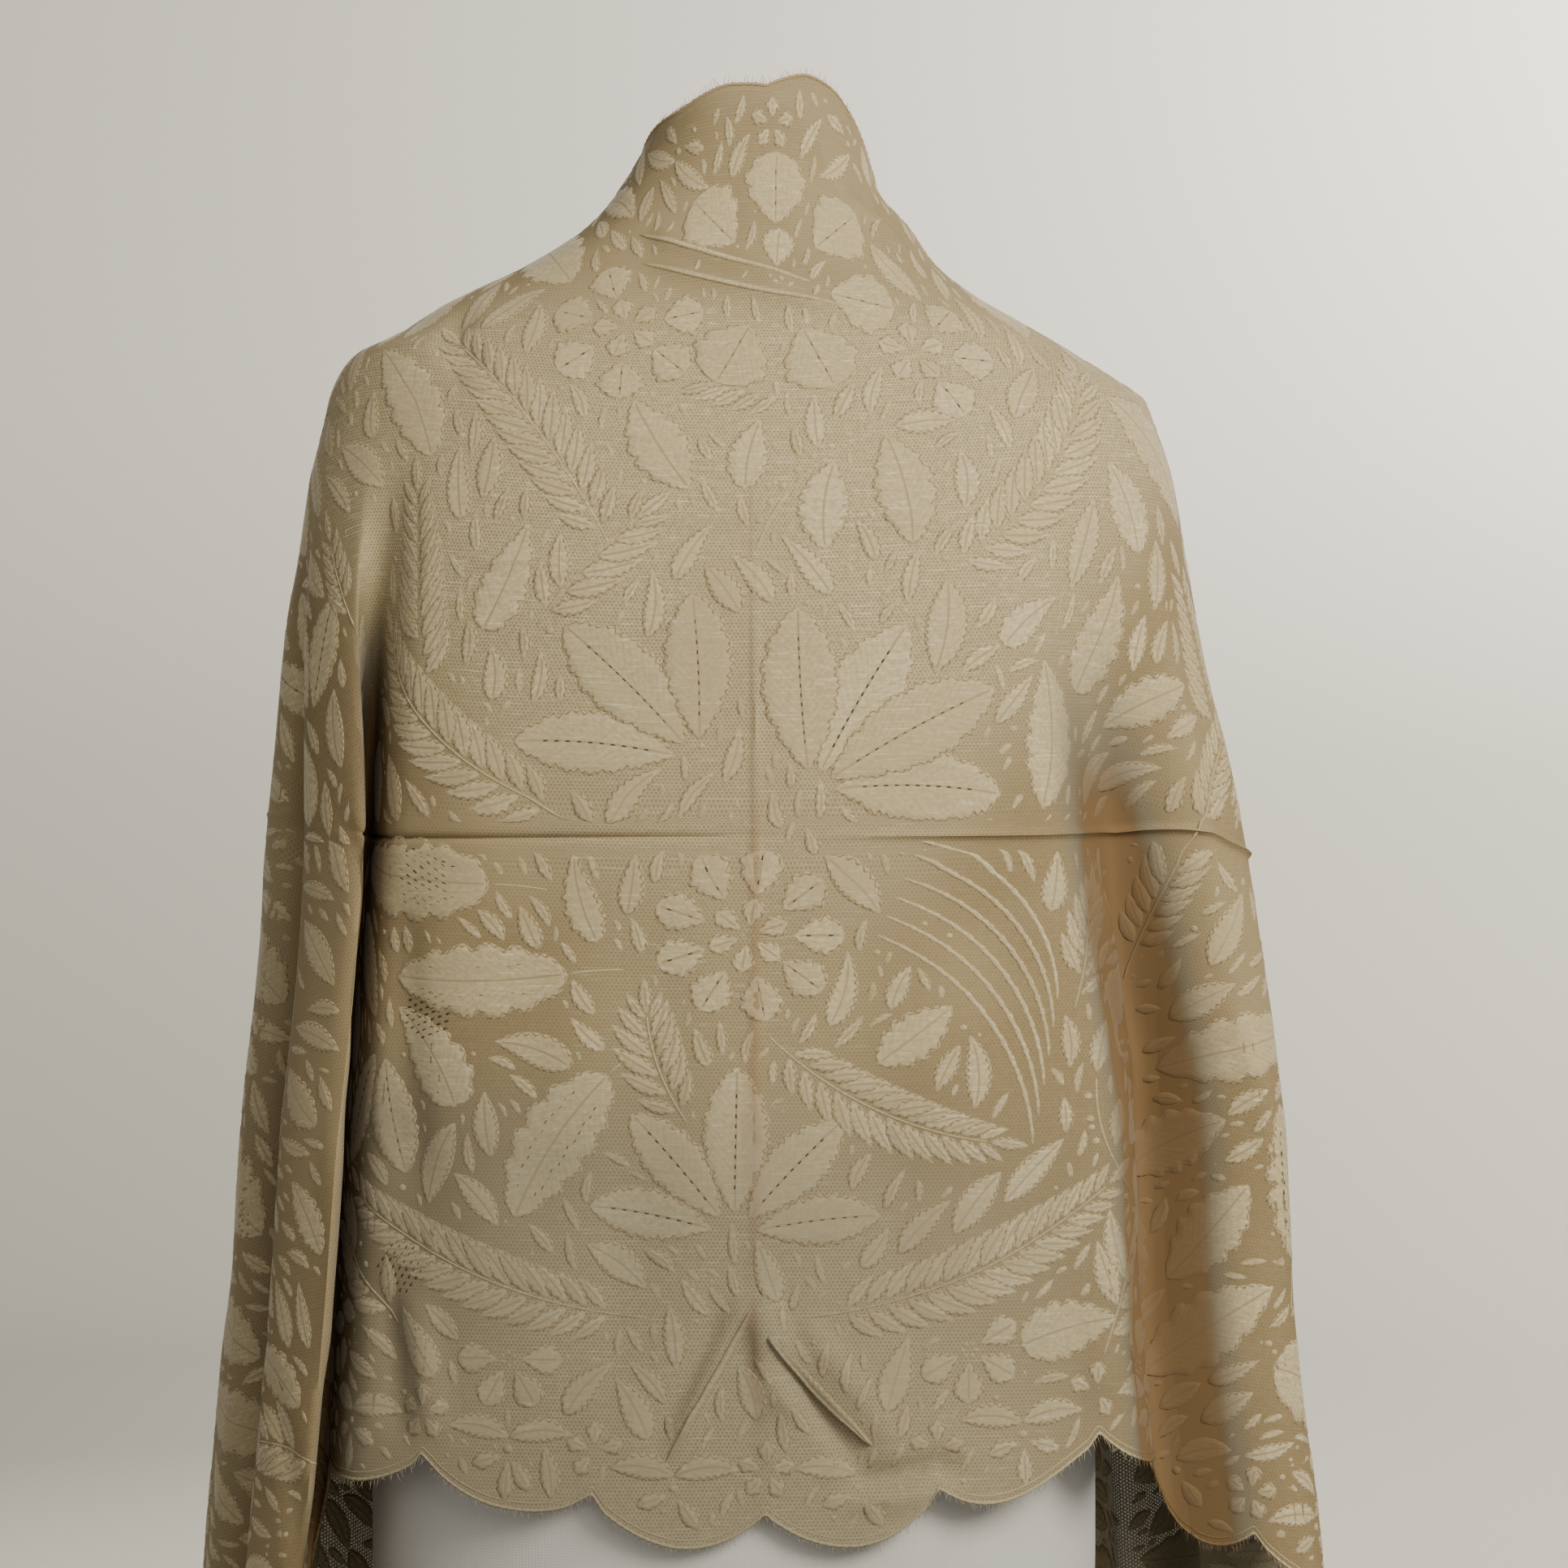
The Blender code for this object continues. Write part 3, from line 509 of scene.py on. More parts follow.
class Cloth:
    """The whole shawl as a grid of points from the neck edge to the hem, with the outward
    direction, the flat place on the cut cloth, and what its colour depends on, at each point."""

    def __init__(self):
        self.angles, self.column_lengths = column_angles()
        angles = self.angles
        top = edge_heights(NECK_EDGE, NECK_SCALLOP_DEPTH, angles) - NECK_SCALLOP_DEPTH
        split = np.minimum(FOLDS_START_HEIGHT, top - UPPER_DROP)
        bottom = edge_heights(HEM, -SCALLOP_DEPTH, angles)
        crease = np.minimum(at_angle(CREASE_LINE, angles), split - 2 * CREASE_BAND)
        stops = (top, split, crease + CREASE_BAND, crease - CREASE_BAND, bottom)
        parts = [spaced_heights(angles, *ends) for ends in zip(stops, stops[1:], ROW_COUNTS)]
        self.heights = np.concatenate([*(part[:-1] for part in parts[:-1]), parts[-1]])
        spread = np.broadcast_to(angles, self.heights.shape)
        spread = front_scallop(spread, top - self.heights)
        x, y = (softened(values) for values in shawl_plan(spread, self.heights))
        x, y = clear_of_form(x, y, self.heights, CLOTH_CLEAR)
        points = np.stack([x, y, self.heights], axis=-1)
        moves = crease_moves(spread, self.heights, points)
        points += grid_normals(points)[0] * moves[..., None]
        x, y = clear_of_form(*points[..., :2].transpose(2, 0, 1), points[..., 2], LEAST_CLEAR)
        self.points = np.stack([x, y, points[..., 2]], axis=-1)
        self.out, self.along, self.down = grid_normals(self.points)
        self.flat = flattened(self.points, angles, self.heights)
        self.shade = self.fold_shade(spread)
        self.behind = self.open_behind()
        self.bend = bent(self.points, self.out)
        # The cloth's painted fold shade, then its stain and its cloudy yellowing.
        self.age = np.stack([self.shade, *self.marks()], axis=-1)
        self.places = FlatPlaces(self.flat)

    def fold_shade(self, spread):
        """How much painted shade the cloth's colour takes: 0 on the cloth's open faces, rising to 1 at
        the bottom of the folds beside the back and on their left sides, less in the folds of the sides
        and fronts, and up to 0.41 low on the back, where no white form lights the cloth from behind."""
        moved = [fold_moves(spread + shift, self.heights)[0] for shift in (0.0, 6.0)]
        deep = ease(np.clip(-np.minimum(*moved), 0, None) / 0.045)
        deep = deep * (1 - 0.5 * ease((np.where(spread < 0, -64, -78) + np.abs(spread)) / 10))
        low = (0.42 - 0.0045 * spread) * ease((1.1 - self.heights) / 0.16)
        low = np.minimum(low, 0.41) * ease((64 - np.abs(spread)) / 14)
        return np.maximum(deep, low)

    def marks(self):
        """How stained the cloth is along its middle crease, and how yellowed in cloudy spots."""
        random = np.random.default_rng(5)
        wander, patchy, clouds = (
            cloudiness(self.heights.shape, cells, random) for cells in ((34, 20), (26, 30), (9, 14))
        )
        x, y, z = np.moveaxis(self.points, -1, 0)
        near = 1 - ease((np.abs(x - 0.0108 + 0.007 * (wander - 0.5)) - 0.0004) / 0.0042)
        run = ease((z - 0.82) / 0.1) * (1 - ease((z - 1.1) / 0.09)) * ease((-0.06 - y) / 0.02)
        stain = near * run * (0.25 + 0.75 * ease((patchy - 0.3) / 0.35))
        line = np.clip(1 - np.abs(self.column_lengths - CENTRE_CREASE_AT) / 0.0018, 0, 1)
        line = line * ease((z - 0.815) / 0.02) * (1 - ease((z - 1.27) / 0.05))
        return np.maximum(stain, (0.3 + 0.35 * patchy) * line), ease((clouds - 0.42) / 0.3)

    def open_behind(self):
        """0 where the form is close behind the cloth, 1 from 45 mm off it or below it, 0.8 at
        the nape, where the cloth lies in folds, and less at the sides, where it lies double."""
        edge, reach = form_reach(self.points[..., 0], self.points[..., 1], self.heights)
        gap = np.where(self.heights < FORM_SECTIONS[0].height, 1.0, reach - edge)
        double = ease((np.abs(self.angles) - np.where(self.angles < 0, 76, 100)) / 14)
        open_here = ease((gap - 0.008) / 0.037) * (1 - 0.55 * double)
        return np.maximum(open_here, 0.8 * ease((self.heights - 1.36) / 0.04))

    def spot(self, angle, height):
        """Flat place of an angle and a height, and the flat direction that is up there."""
        column = float(np.interp(angle, self.angles, np.arange(len(self.angles))))
        near = self.heights[:, int(round(column))]
        row = float(np.interp(-height, -near, np.arange(len(near))))
        rows = np.clip([row, row - 3.0, row + 3.0], 0, len(near) - 1)
        flat = between(self.flat, rows, np.full(3, column))
        rise = flat[1] - flat[2]
        return flat[0], math.degrees(math.atan2(rise[1], rise[0]))


def softened(values):
    """Values smoothed along each row with weights 1, 2, 1, twice over; its two ends stay."""
    for _ in range(2):
        inner = (values[:, :-2] + 2 * values[:, 1:-1] + values[:, 2:]) / 4
        values = np.concatenate([values[:, :1], inner, values[:, -1:]], axis=1)
    return values


def cloudiness(shape, cells, random):
    """Soft random patches from 0 to 1 on a grid: three layers of smoothed random values, each
    twice as fine and half as strong as the one before."""
    total = np.zeros(shape)
    for layer in range(3):
        size = [n * 2**layer for n in cells]
        coarse = random.uniform(0, 1, (size[0] + 1, size[1] + 1))
        lines = [np.linspace(0, n, count) for n, count in zip(size, shape)]
        row, column = np.meshgrid(*[np.floor(at) + ease(at % 1) for at in lines], indexing="ij")
        total += between(coarse, row.ravel(), column.ravel()).reshape(shape) / 2**layer
    return total / 1.75


def grid_normals(points):
    """Directions outward, along the row and down the column, at each point."""
    along = unit(np.gradient(points, axis=1))
    down = unit(np.gradient(points, axis=0))
    return unit(np.cross(down, along)), along, down


def bent(points, out):
    """One over the radius that a grid is bent to at each point, where it is bent more."""
    bends = [
        np.linalg.norm(np.gradient(out, axis=axis), axis=-1)
        / np.linalg.norm(np.gradient(points, axis=axis), axis=-1)
        for axis in (0, 1)
    ]
    return np.maximum(*bends)


def between(grid, rows, columns):
    """Bilinear values of a grid at fractional rows and columns."""
    top = np.clip(rows.astype(int), 0, grid.shape[0] - 2)
    left = np.clip(columns.astype(int), 0, grid.shape[1] - 2)
    shape = (-1,) + (1,) * (grid.ndim - 2)
    a, b = (rows - top).reshape(shape), (columns - left).reshape(shape)
    return (
        grid[top, left] * (1 - a) * (1 - b)
        + grid[top, left + 1] * (1 - a) * b
        + grid[top + 1, left] * a * (1 - b)
        + grid[top + 1, left + 1] * a * b
    )


def every(count, step):
    """Whole numbers from 0 by the step, with the last one always there."""
    picked = np.arange(0, count, step)
    return np.append(picked, count - 1) if picked[-1] != count - 1 else picked


def flattened(points, angles, heights):
    """Flat places in metres for a grid of cloth: every few rows of it unwrapped with the least
    stretch, scaled to its real area, and turned so that v runs up the middle of the back from 0, 0
    at the middle of its hem."""
    rows = every(points.shape[0], FLATTEN_STEP)
    coarse = points[rows]
    shape = coarse.shape[:2]
    blank = [("UVMap", np.zeros((shape[0] * shape[1], 2)))]
    helper = new_piece("unwrapped", coarse.reshape(-1, 3), grid_quads(*shape), None, blank)
    mesh = helper.data
    bpy.ops.object.select_all(action="DESELECT")
    helper.select_set(True)
    bpy.context.view_layer.objects.active = helper
    bpy.ops.object.mode_set(mode="EDIT")
    bpy.ops.mesh.select_all(action="SELECT")
    bpy.ops.uv.unwrap(method="MINIMUM_STRETCH")
    bpy.ops.object.mode_set(mode="OBJECT")
    unwrapped = np.zeros(len(mesh.loops) * 2)
    corner = np.zeros(len(mesh.loops), int)
    mesh.uv_layers[0].data.foreach_get("uv", unwrapped)
    mesh.loops.foreach_get("vertex_index", corner)
    flat = np.zeros((shape[0] * shape[1], 2))
    flat[corner] = unwrapped.reshape(-1, 2)
    bpy.data.objects.remove(helper)
    bpy.data.meshes.remove(mesh)
    flat = flat.reshape(*shape, 2)
    flat *= math.sqrt(quad_area(coarse) / quad_area(flat))
    every_row = np.arange(points.shape[0])
    columns = flat.transpose(1, 2, 0).reshape(-1, len(rows))
    fine = np.stack([np.interp(every_row, rows, column) for column in columns], axis=-1)
    fine = fine.reshape(len(every_row), -1, 2)
    middle = int(np.argmin(np.abs(angles)))
    hem_middle, low, high = (
        int(np.argmin(np.abs(heights[:, middle] - level))) for level in (0.83, 0.86, 1.25)
    )
    up = unit(fine[high, middle] - fine[low, middle])
    turned = np.stack([fine @ np.array([up[1], -up[0]]), fine @ up], axis=-1)
    if turned[low, middle + 20, 0] < turned[low, middle, 0]:
        turned[..., 0] *= -1
    return turned - turned[hem_middle, middle]


def crossed(a, b):
    """The cross product of flat directions."""
    return a[..., 0] * b[..., 1] - a[..., 1] * b[..., 0]


def quad_area(grid):
    """Area of a grid's faces, from the cross products of their diagonals."""
    a, b = grid[1:, 1:] - grid[:-1, :-1], grid[1:, :-1] - grid[:-1, 1:]
    if grid.shape[-1] == 2:
        return float(np.abs(crossed(a, b)).sum() / 2)
    return float(np.linalg.norm(np.cross(a, b), axis=-1).sum() / 2)


def grid_quads(rows, columns):
    """Corner numbers of a grid's faces, facing where its rows run down and its columns right."""
    index = np.arange(rows * columns).reshape(rows, columns)
    corners = [index[:-1, :-1], index[1:, :-1], index[1:, 1:], index[:-1, 1:]]
    return np.stack(corners, axis=-1).reshape(-1, 4)


class FlatPlaces:
    """Finds the row and column of flat places: a raster of first guesses, then Newton's method
    on the grid's own straight-sided cells."""

    cell = 0.0025
    parts = 7

    def __init__(self, flat):
        self.flat = flat
        self.low = flat.reshape(-1, 2).min(axis=0) - 2 * self.cell
        size = ((flat.reshape(-1, 2).max(axis=0) - self.low) / self.cell).astype(int) + 3
        self.guess = np.full((size[0], size[1], 2), np.nan)
        rows, columns = np.meshgrid(*[np.arange(n - 1) for n in flat.shape[:2]], indexing="ij")
        for a, b in np.ndindex(self.parts, self.parts):
            row = rows.ravel() + (a + 0.5) / self.parts
            column = columns.ravel() + (b + 0.5) / self.parts
            at = self.cell_of(between(flat, row, column))
            self.guess[at[:, 0], at[:, 1]] = np.stack([row, column], axis=-1)

    def cell_of(self, places):
        at = np.floor((places - self.low) / self.cell).astype(int)
        return np.clip(at, 0, np.array(self.guess.shape[:2]) - 1)

    def find(self, places):
        """Rows and columns of flat places, and which of them are on the cloth."""
        at = self.cell_of(places)
        found = self.guess[at[:, 0], at[:, 1]]
        known = ~np.isnan(found[:, 0])
        found = np.where(known[:, None], found, 1.0)
        last = np.array(self.flat.shape[:2]) - 1
        for _ in range(5):
            top = np.clip(found.astype(int), 0, last - 1)
            a, b, c, d = (self.flat[top[:, 0] + i, top[:, 1] + j] for i in (0, 1) for j in (0, 1))
            s, t = np.split(found - top, 2, axis=1)
            down = (c - a) * (1 - t) + (d - b) * t
            right = (b - a) * (1 - s) + (d - c) * s
            miss = places - between(self.flat, *found.T)
            area = crossed(down, right)
            area = np.where(np.abs(area) < 1e-12, 1e-12, area)
            step = np.stack([crossed(miss, right), crossed(down, miss)], axis=-1) / area[:, None]
            found = np.clip(found + np.clip(step, -3, 3), 0, last)
        here = between(self.flat, *found.T)
        close = np.linalg.norm(here - places, axis=1) < 0.0003
        return found, known & close


@functools.lru_cache(maxsize=1)
def cloth():
    return Cloth()


def linked(name, data):
    """A new object in the scene."""
    made = bpy.data.objects.new(name, data)
    bpy.context.scene.collection.objects.link(made)
    return made


def new_piece(name, points, quads, material, uvs=(), attributes=(), slot=None):
    """A mesh object from arrays of points and four-cornered faces, with UV maps and attributes
    given by their values at the points. With a slot it rides the body."""
    mesh = bpy.data.meshes.new(name)
    mesh.vertices.add(len(points))
    mesh.vertices.foreach_set("co", points.astype(np.float32).ravel())
    mesh.loops.add(quads.size)
    mesh.loops.foreach_set("vertex_index", quads.astype(np.int32).ravel())
    mesh.polygons.add(len(quads))
    mesh.polygons.foreach_set("loop_start", np.arange(0, quads.size, 4, dtype=np.int32))
    mesh.update(calc_edges=True)
    for label, values in uvs:
        layer = mesh.uv_layers.new(name=label)
        layer.data.foreach_set("uv", values[quads.ravel()].astype(np.float32).ravel())
    for label, values in attributes:
        kind, field = ("FLOAT", "value") if values.ndim == 1 else ("FLOAT_VECTOR", "vector")
        layer = mesh.attributes.new(label, kind, "POINT")
        layer.data.foreach_set(field, values.astype(np.float32).ravel())
    mesh.shade_smooth()
    mesh.validate()
    made = linked(name, mesh)
    mesh.materials.append(material)
    if slot is not None:
        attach(made, BODY)
    return made


def rim_loop(index):
    """The numbers round the border of a grid of point numbers, in the order that its faces run."""
    return np.concatenate([index[:-1, 0], index[-1, :-1], index[:0:-1, -1], index[0, :0:-1]])


def shell_faces(rows, columns):
    """Faces of a closed thin shell: an outer grid, an inner grid behind it, and the rim."""
    count = rows * columns
    outer = grid_quads(rows, columns)
    inner = outer[:, ::-1] + count
    ring = rim_loop(np.arange(count).reshape(rows, columns))
    after = np.roll(ring, -1)
    rim = np.stack([after, ring, ring + count, after + count], axis=-1)
    return np.concatenate([outer, inner, rim])


def stretch_grids():
    """Row and column ranges of every stretch on the cloth grid. The collar is the top of the back
    stretch, down to where the cloth leaves the slope of the neck."""
    whole = cloth()
    last_row = len(whole.heights) - 1
    for stretch in STRETCHES:
        first = int(np.argmin(np.abs(whole.angles - stretch.starts)))
        last = int(np.argmin(np.abs(whole.angles - stretch.ends)))
        if stretch.name == "shawl_back":
            yield "shawl_collar", 0, COLLAR_ROW, first, last, COLLAR_CUT
            yield "shawl_back", COLLAR_ROW, last_row, first, last, stretch.flat
        else:
            yield stretch.name, 0, last_row, first, last, stretch.flat


COLLAR_ROW = 27
SHARP_RIM = math.radians(55)


def build_nets(material):
    """Each stretch's net ground: the grid moved half its thickness each way along its outward
    direction, closed by a rim, in place of its solid, which is hidden."""
    whole = cloth()
    half = NET_THICKNESS / 2
    for name, top, low, first, last, cut in stretch_grids():
        window = np.s_[top : low + 1, first : last + 1]
        points, out = whole.points[window], whole.out[window]
        both = np.concatenate([(points + s * half * out).reshape(-1, 3) for s in (1, -1)])
        flat = np.tile(whole.flat[window].reshape(-1, 2), (2, 1))
        age = np.tile(whole.age[window].reshape(-1, 3), (2, 1))
        behind = np.tile(whole.behind[window].ravel(), 2)
        fields = [("age", age), ("open_behind", behind)]
        quads = shell_faces(*points.shape[:2])
        net = new_piece(name + "_net", both, quads, material, [("cut", flat)], fields, "lace")
        net.data.set_sharp_from_angle(angle=SHARP_RIM)
        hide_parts(name)


def declare_sheets():
    """Looks up each stretch's net and the pieces worked on it, and does nothing with them."""
    for name, _, _, _, _, cut in stretch_grids():
        net = bpy.data.objects[name + "_net"]
        worked = [o for o in bpy.data.objects if o.name.startswith(name + "_") and o != net]


# A closely worked shape of the lace, laid out on the flat cloth: where it starts, which way it
# runs (degrees from +u), how far, how many degrees it bends, and the shape of its outline.
Plate = namedtuple(
    "Plate",
    "u v direction length half_width bend widest fullness lobes lobe_depth rise",
    defaults=(0.0, 0.85, 0.75, 0, 0.0, 0.00034),
)

# Cells along and across one plate of each kind, and how long and wide a plate may be for it.
PlateKind = namedtuple("PlateKind", "along across longest widest", defaults=(0.0, 0.0))
PLATE_KINDS = {
    "tiny": PlateKind(4, 3, 0.0115, 0.007),
    "small": PlateKind(6, 4, 0.024, 0.011),
    "middling": PlateKind(9, 6, 0.037, 0.019),
    "wide": PlateKind(12, 8, 0.052, 0.03),
    "slim": PlateKind(26, 6, 0.12, 0.028),
    "big": PlateKind(24, 8, 1.0, 1.0),
    "band": PlateKind(30, 2),
    "eyelet": PlateKind(3, 2),
}
LEAF_KINDS = ("tiny", "small", "middling", "wide")
SHOULDER = 0.0008
LEAST_HALF_WIDTH = 0.00035
PLATE_GAP = 0.0003
SHARPEST_PLACE = 110.0


def plate_kind(plate):
    """The coarsest kind that is fine enough for a plate."""
    for kind in ("slim",) if plate.lobes else LEAF_KINDS:
        size = PLATE_KINDS[kind]
        if plate.length <= size.longest and 2 * plate.half_width <= size.widest:
            return kind
    return "big"


def arc_place(plate, share):
    """Place and direction on a plate's spine, which is part of a circle. The chord of an arc
    of length a that turns by k is a * sin(k / 2) / (k / 2), at half the turn."""
    half = np.radians(plate.bend) * share / 2
    chord = plate.length * share * np.sinc(half / math.pi)
    toward = np.radians(plate.direction) + half
    u, v = plate.u + chord * np.cos(toward), plate.v + chord * np.sin(toward)
    return u, v, plate.direction + plate.bend * share


def half_widths(plate, share):
    """Half the width along the spine: a sine over a skewed share of the length, raised to a
    power, with lobes cut into it."""
    swell = np.sin(math.pi * np.clip(share, 0, 1) ** plate.widest)
    swell = np.clip(swell, 0, 1) ** plate.fullness
    notch = (0.5 + 0.5 * np.cos(2 * math.pi * plate.lobes * share)) ** 3
    return np.maximum(plate.half_width * swell * (1 - plate.lobe_depth * notch), LEAST_HALF_WIDTH)


def flat_places(plate, share, across):
    """Flat places at shares along a plate's spine and shares of its half width to the left."""
    u, v, direction = arc_place(plate, share)
    turn = np.radians(direction)
    reach = half_widths(plate, share) * across
    return np.stack([u - reach * np.sin(turn), v + reach * np.cos(turn)], axis=-1), reach


def stem(u, v, direction, length, bend, half_width=0.0008):
    return Plate(u, v, direction, length, half_width, bend, 1.0, 0.08, rise=0.00044)


def beside(u, v, direction, distance):
    """The flat place at a distance from another, in a direction in degrees."""
    turn = math.radians(direction)
    return u + distance * math.cos(turn), v + distance * math.sin(turn)


def leaflet_pairs(spine, size, count, spread, slimness=0.21):
    """Pairs of leaflets along a stem, longest a third of the way up, and one at its end."""
    for share in np.linspace(0.12, 0.95, count):
        u, v, here = arc_place(spine, share)
        length = size * (0.5 + 0.75 * math.sin(math.pi * (0.12 + 0.8 * share)))
        for side in (-1, 1):
            turn = here + side * (spread - 0.35 * spread * share)
            start = beside(u, v, turn, 0.0016)
            yield Plate(*start, turn, length, slimness * length, -14.0 * side, 0.8, 0.8)
    u, v, here = arc_place(spine, 1.01)
    yield Plate(u, v, here, 0.95 * size, 0.9 * slimness * size)


def fern(u, v, direction, length, bend, size):
    spine = stem(u, v, direction, length, bend)
    yield "band", spine
    for plate in leaflet_pairs(spine, size, max(3, round(length / (0.5 * size))), 52.0):
        yield plate_kind(plate), plate


def fan(u, v, direction, length, bend, size):
    """A hand of long leaves spread from one place, with eyelets up their middles."""
    count = max(3, round(size))
    for index in range(count):
        share = index / (count - 1) - 0.5
        turn = direction + 150.0 * share
        reach = length * (1 - 0.75 * share * share) * (0.94 if index % 2 else 1.0)
        start = beside(u, v, turn, 0.01)
        width = min(0.23 * reach, 0.5 * math.radians(150.0 / (count - 1)) * reach)
        leaf = Plate(*start, turn, reach, width, bend + 24.0 * share, 1.15, 0.62, 7, 0.14)
        yield plate_kind(leaf), leaf
        yield from eyelet_row(leaf, 0.18, 0.8)


def leaf(u, v, direction, length, bend, size):
    """One broad lobed leaf on a short stem, with two rows of eyelets beside its midrib."""
    stalk = stem(u, v, direction - 6, 0.3 * length, 10.0)
    yield "band", stalk
    blade = Plate(*arc_place(stalk, 1.04), length, size, bend, 0.9, 0.55, 6, 0.22)
    yield plate_kind(blade), blade
    for across in (-0.42, 0.42):
        yield from eyelet_row(blade, 0.2, 0.82, across)


def eyelet_row(along, first, last, across=0.0, pitch=0.004):
    """Eyelets at an even pitch along a plate."""
    count = max(2, int(along.length * (last - first) / pitch))
    for share in np.linspace(first, last, count):
        place, _ = flat_places(along, share, across)
        here = arc_place(along, share)[2]
        yield "eyelet", hole(*beside(*place, here, -0.0012), here)


def hole(u, v, direction):
    """One eyelet: a small disc painted dark as the shade in a hole. It lies over the leaf that it is
    worked in.
    """
    return Plate(u, v, direction, 0.0024, 0.0011, 0.0, 1.0, 0.4, rise=0.0009)


def lattice(u, v, direction, length, bend, size):
    """Eyelets in a diamond: each row is one eyelet shorter than the one nearer to the middle."""
    turn = math.radians(direction)
    rows = round(length / size)
    for row in range(-rows, rows + 1):
        count = 2 * rows + 1 - abs(row)
        for step in np.arange(count) - (count - 1) / 2:
            along, across = step * size, row * 0.75 * size
            at_u = u + along * math.cos(turn) - across * math.sin(turn)
            at_v = v + along * math.sin(turn) + across * math.cos(turn)
            yield "eyelet", hole(at_u, at_v, direction)


def ribs(u, v, direction, length, bend, size):
    """Curved beaded ribs side by side, each a narrow worked band, closer at their far ends."""
    for index in range(round(length / size) // 2 + 2):
        start = beside(u, v, direction + 90, index * size)
        way, reach = direction + 2.2 * index, length * (1 - 0.035 * index)
        yield "band", Plate(*start, way, reach, 0.0027, bend - 3.0 * index, 1.0, 0.25, 14, 0.3)


def rose(u, v, direction, length, bend, size):
    """A flower with a ring of broad petals round it and an eyelet in each petal."""
    yield from flower(u, v, direction, 0.52 * length, bend, size)
    outer = round(size) + 3
    for index in range(outer):
        turn = direction + 360 * (index + 0.5) / outer
        start = beside(u, v, turn, 0.56 * length)
        width = 0.86 * math.pi / outer * length
        petal = Plate(*start, turn, 0.66 * length, width, bend, 1.35, 0.58, 4, 0.16)
        yield plate_kind(petal), petal
        yield from eyelet_row(petal, 0.3, 0.72)


def flower(u, v, direction, length, bend, size):
    """Petals round a ring of berries."""
    petals = max(5, round(size))
    for index in range(petals):
        turn = direction + 360 * index / petals
        start = beside(u, v, turn, 0.22 * length)
        width = 0.88 * math.sin(math.pi / petals) * 0.72 * length
        petal = Plate(*start, turn, 0.8 * length, width, bend, 1.55, 0.6)
        yield plate_kind(petal), petal
    for index in range(petals):
        turn = direction + 360 * (index + 0.5) / petals
        yield "tiny", berry(*beside(u, v, turn, 0.12 * length), 0.055 * length)


def berry(u, v, radius=0.0021):
    return Plate(u - radius, v, 0.0, 2 * radius, radius, 0.0, 1.0, 0.5, rise=0.0004)


def scroll(u, v, direction, length, bend, size):
    """A curled stem with berries along its outer side and a leaf at its end."""
    spine = stem(u, v, direction, length, bend, 0.001)
    yield "band", spine
    for share in np.linspace(0.15, 0.9, max(3, int(length / 0.011))):
        place, _ = flat_places(spine._replace(half_width=0.0042), share, -np.sign(bend))
        yield "tiny", berry(*place)
    at_u, at_v, here = arc_place(spine, 1.03)
    yield plate_kind(Plate(0, 0, 0, size, 0)), Plate(at_u, at_v, here, size, 0.24 * size, 0.3 * bend)


SPRAYS = {spray.__name__: spray for spray in (fern, fan, leaf, ribs, lattice, rose, flower, scroll)}

# Narrow rolled pleats that stand off the cloth, from one angle and height to another: the two
# arms of the V over the middle of the hem, and the two folds across the nape.
TUCKS = rows_of(
    "angle_1 height_1 angle_2 height_2 half_width bend rise",
    (1, MM, 1, MM, TENTHS, 1, TENTHS),
    (2.7, 905, 11.2, 854, 26, 5, 19), (1.5, 916, -4.9, 847, 17, -3, 13),
    (-28, 1416, 14, 1385, 21, 8, 7), (-20, 1401, 22, 1371, 17, 6, 6),
)

# The main sprays of the back, on the flat cloth: kind, place, direction, length, bend, size. All
# lengths are in millimetres. The size is a leaf's half width, a fern's leaflet, the spacing of ribs
# and lattices and the end leaf of a scroll, or how many leaves or petals a fan, flower or rose has.
BACK_SPRAYS = (
    ("rose", 12, 262, 20, 34, 0, 6), ("leaf", -72, 282, 176, 78, -10, 21),
    ("lattice", -128, 284, 150, 16, 0, 4), ("lattice", -150, 105, 50, 12, 0, 4),
    ("lattice", -128, 222, 20, 12, 0, 4), ("fan", -10, 345, 128, 78, 14, 5),
    ("fan", 38, 330, 52, 84, -12, 6), ("ribs", 66, 262, -24, 128, -62, 9.6),
    ("leaf", -40, 245, 186, 78, -16, 18.5), ("leaf", -30, 212, 222, 80, 20, 18),
    ("fern", -60, 318, 160, 130, -34, 21), ("fern", 20, 215, -48, 110, 40, 19),
    ("fan", -150, 212, 196, 66, 0, 5), ("fan", 4, 122, 88, 68, 0, 5), ("leaf", 30, 118, 20, 86, 26, 20),
    ("leaf", -28, 118, 152, 88, -30, 20), ("fern", 35, 85, 6, 150, 34, 20),
    ("fern", -35, 85, 176, 150, -36, 20), ("scroll", 12, 445, 74, 90, -60, 30),
    ("fern", 90, 430, 28, 130, 42, 22), ("fern", -50, 440, 118, 140, 26, 22),
    ("fern", -120, 340, 112, 130, -16, 20), ("leaf", 150, 400, 84, 78, 30, 19),
    ("leaf", -160, 420, 70, 70, -24, 17), ("fern", -205, 300, 84, 150, 16, 18),
    ("fern", 222, 240, 82, 140, -14, 18), ("scroll", -190, 100, 20, 80, 70, 26),
    ("scroll", 205, 130, 160, 80, -74, 26), ("flower", -98, 66, 0, 24, 0, 6),
    ("flower", 108, 70, 30, 24, 0, 6), ("flower", 205, 60, 10, 23, 0, 6),
    ("flower", -205, 52, 12, 23, 0, 6), ("rose", 24, 590, 10, 56, 0, 4),
    ("rose", -56, 560, 40, 34, 0, 4), ("rose", 92, 545, 15, 34, 0, 4),
    ("leaf", -85, 580, 22, 66, -20, 18), ("fern", 35, 520, 170, 110, -22, 17),
    ("flower", -12, 628, 10, 30, 0, 6),
)

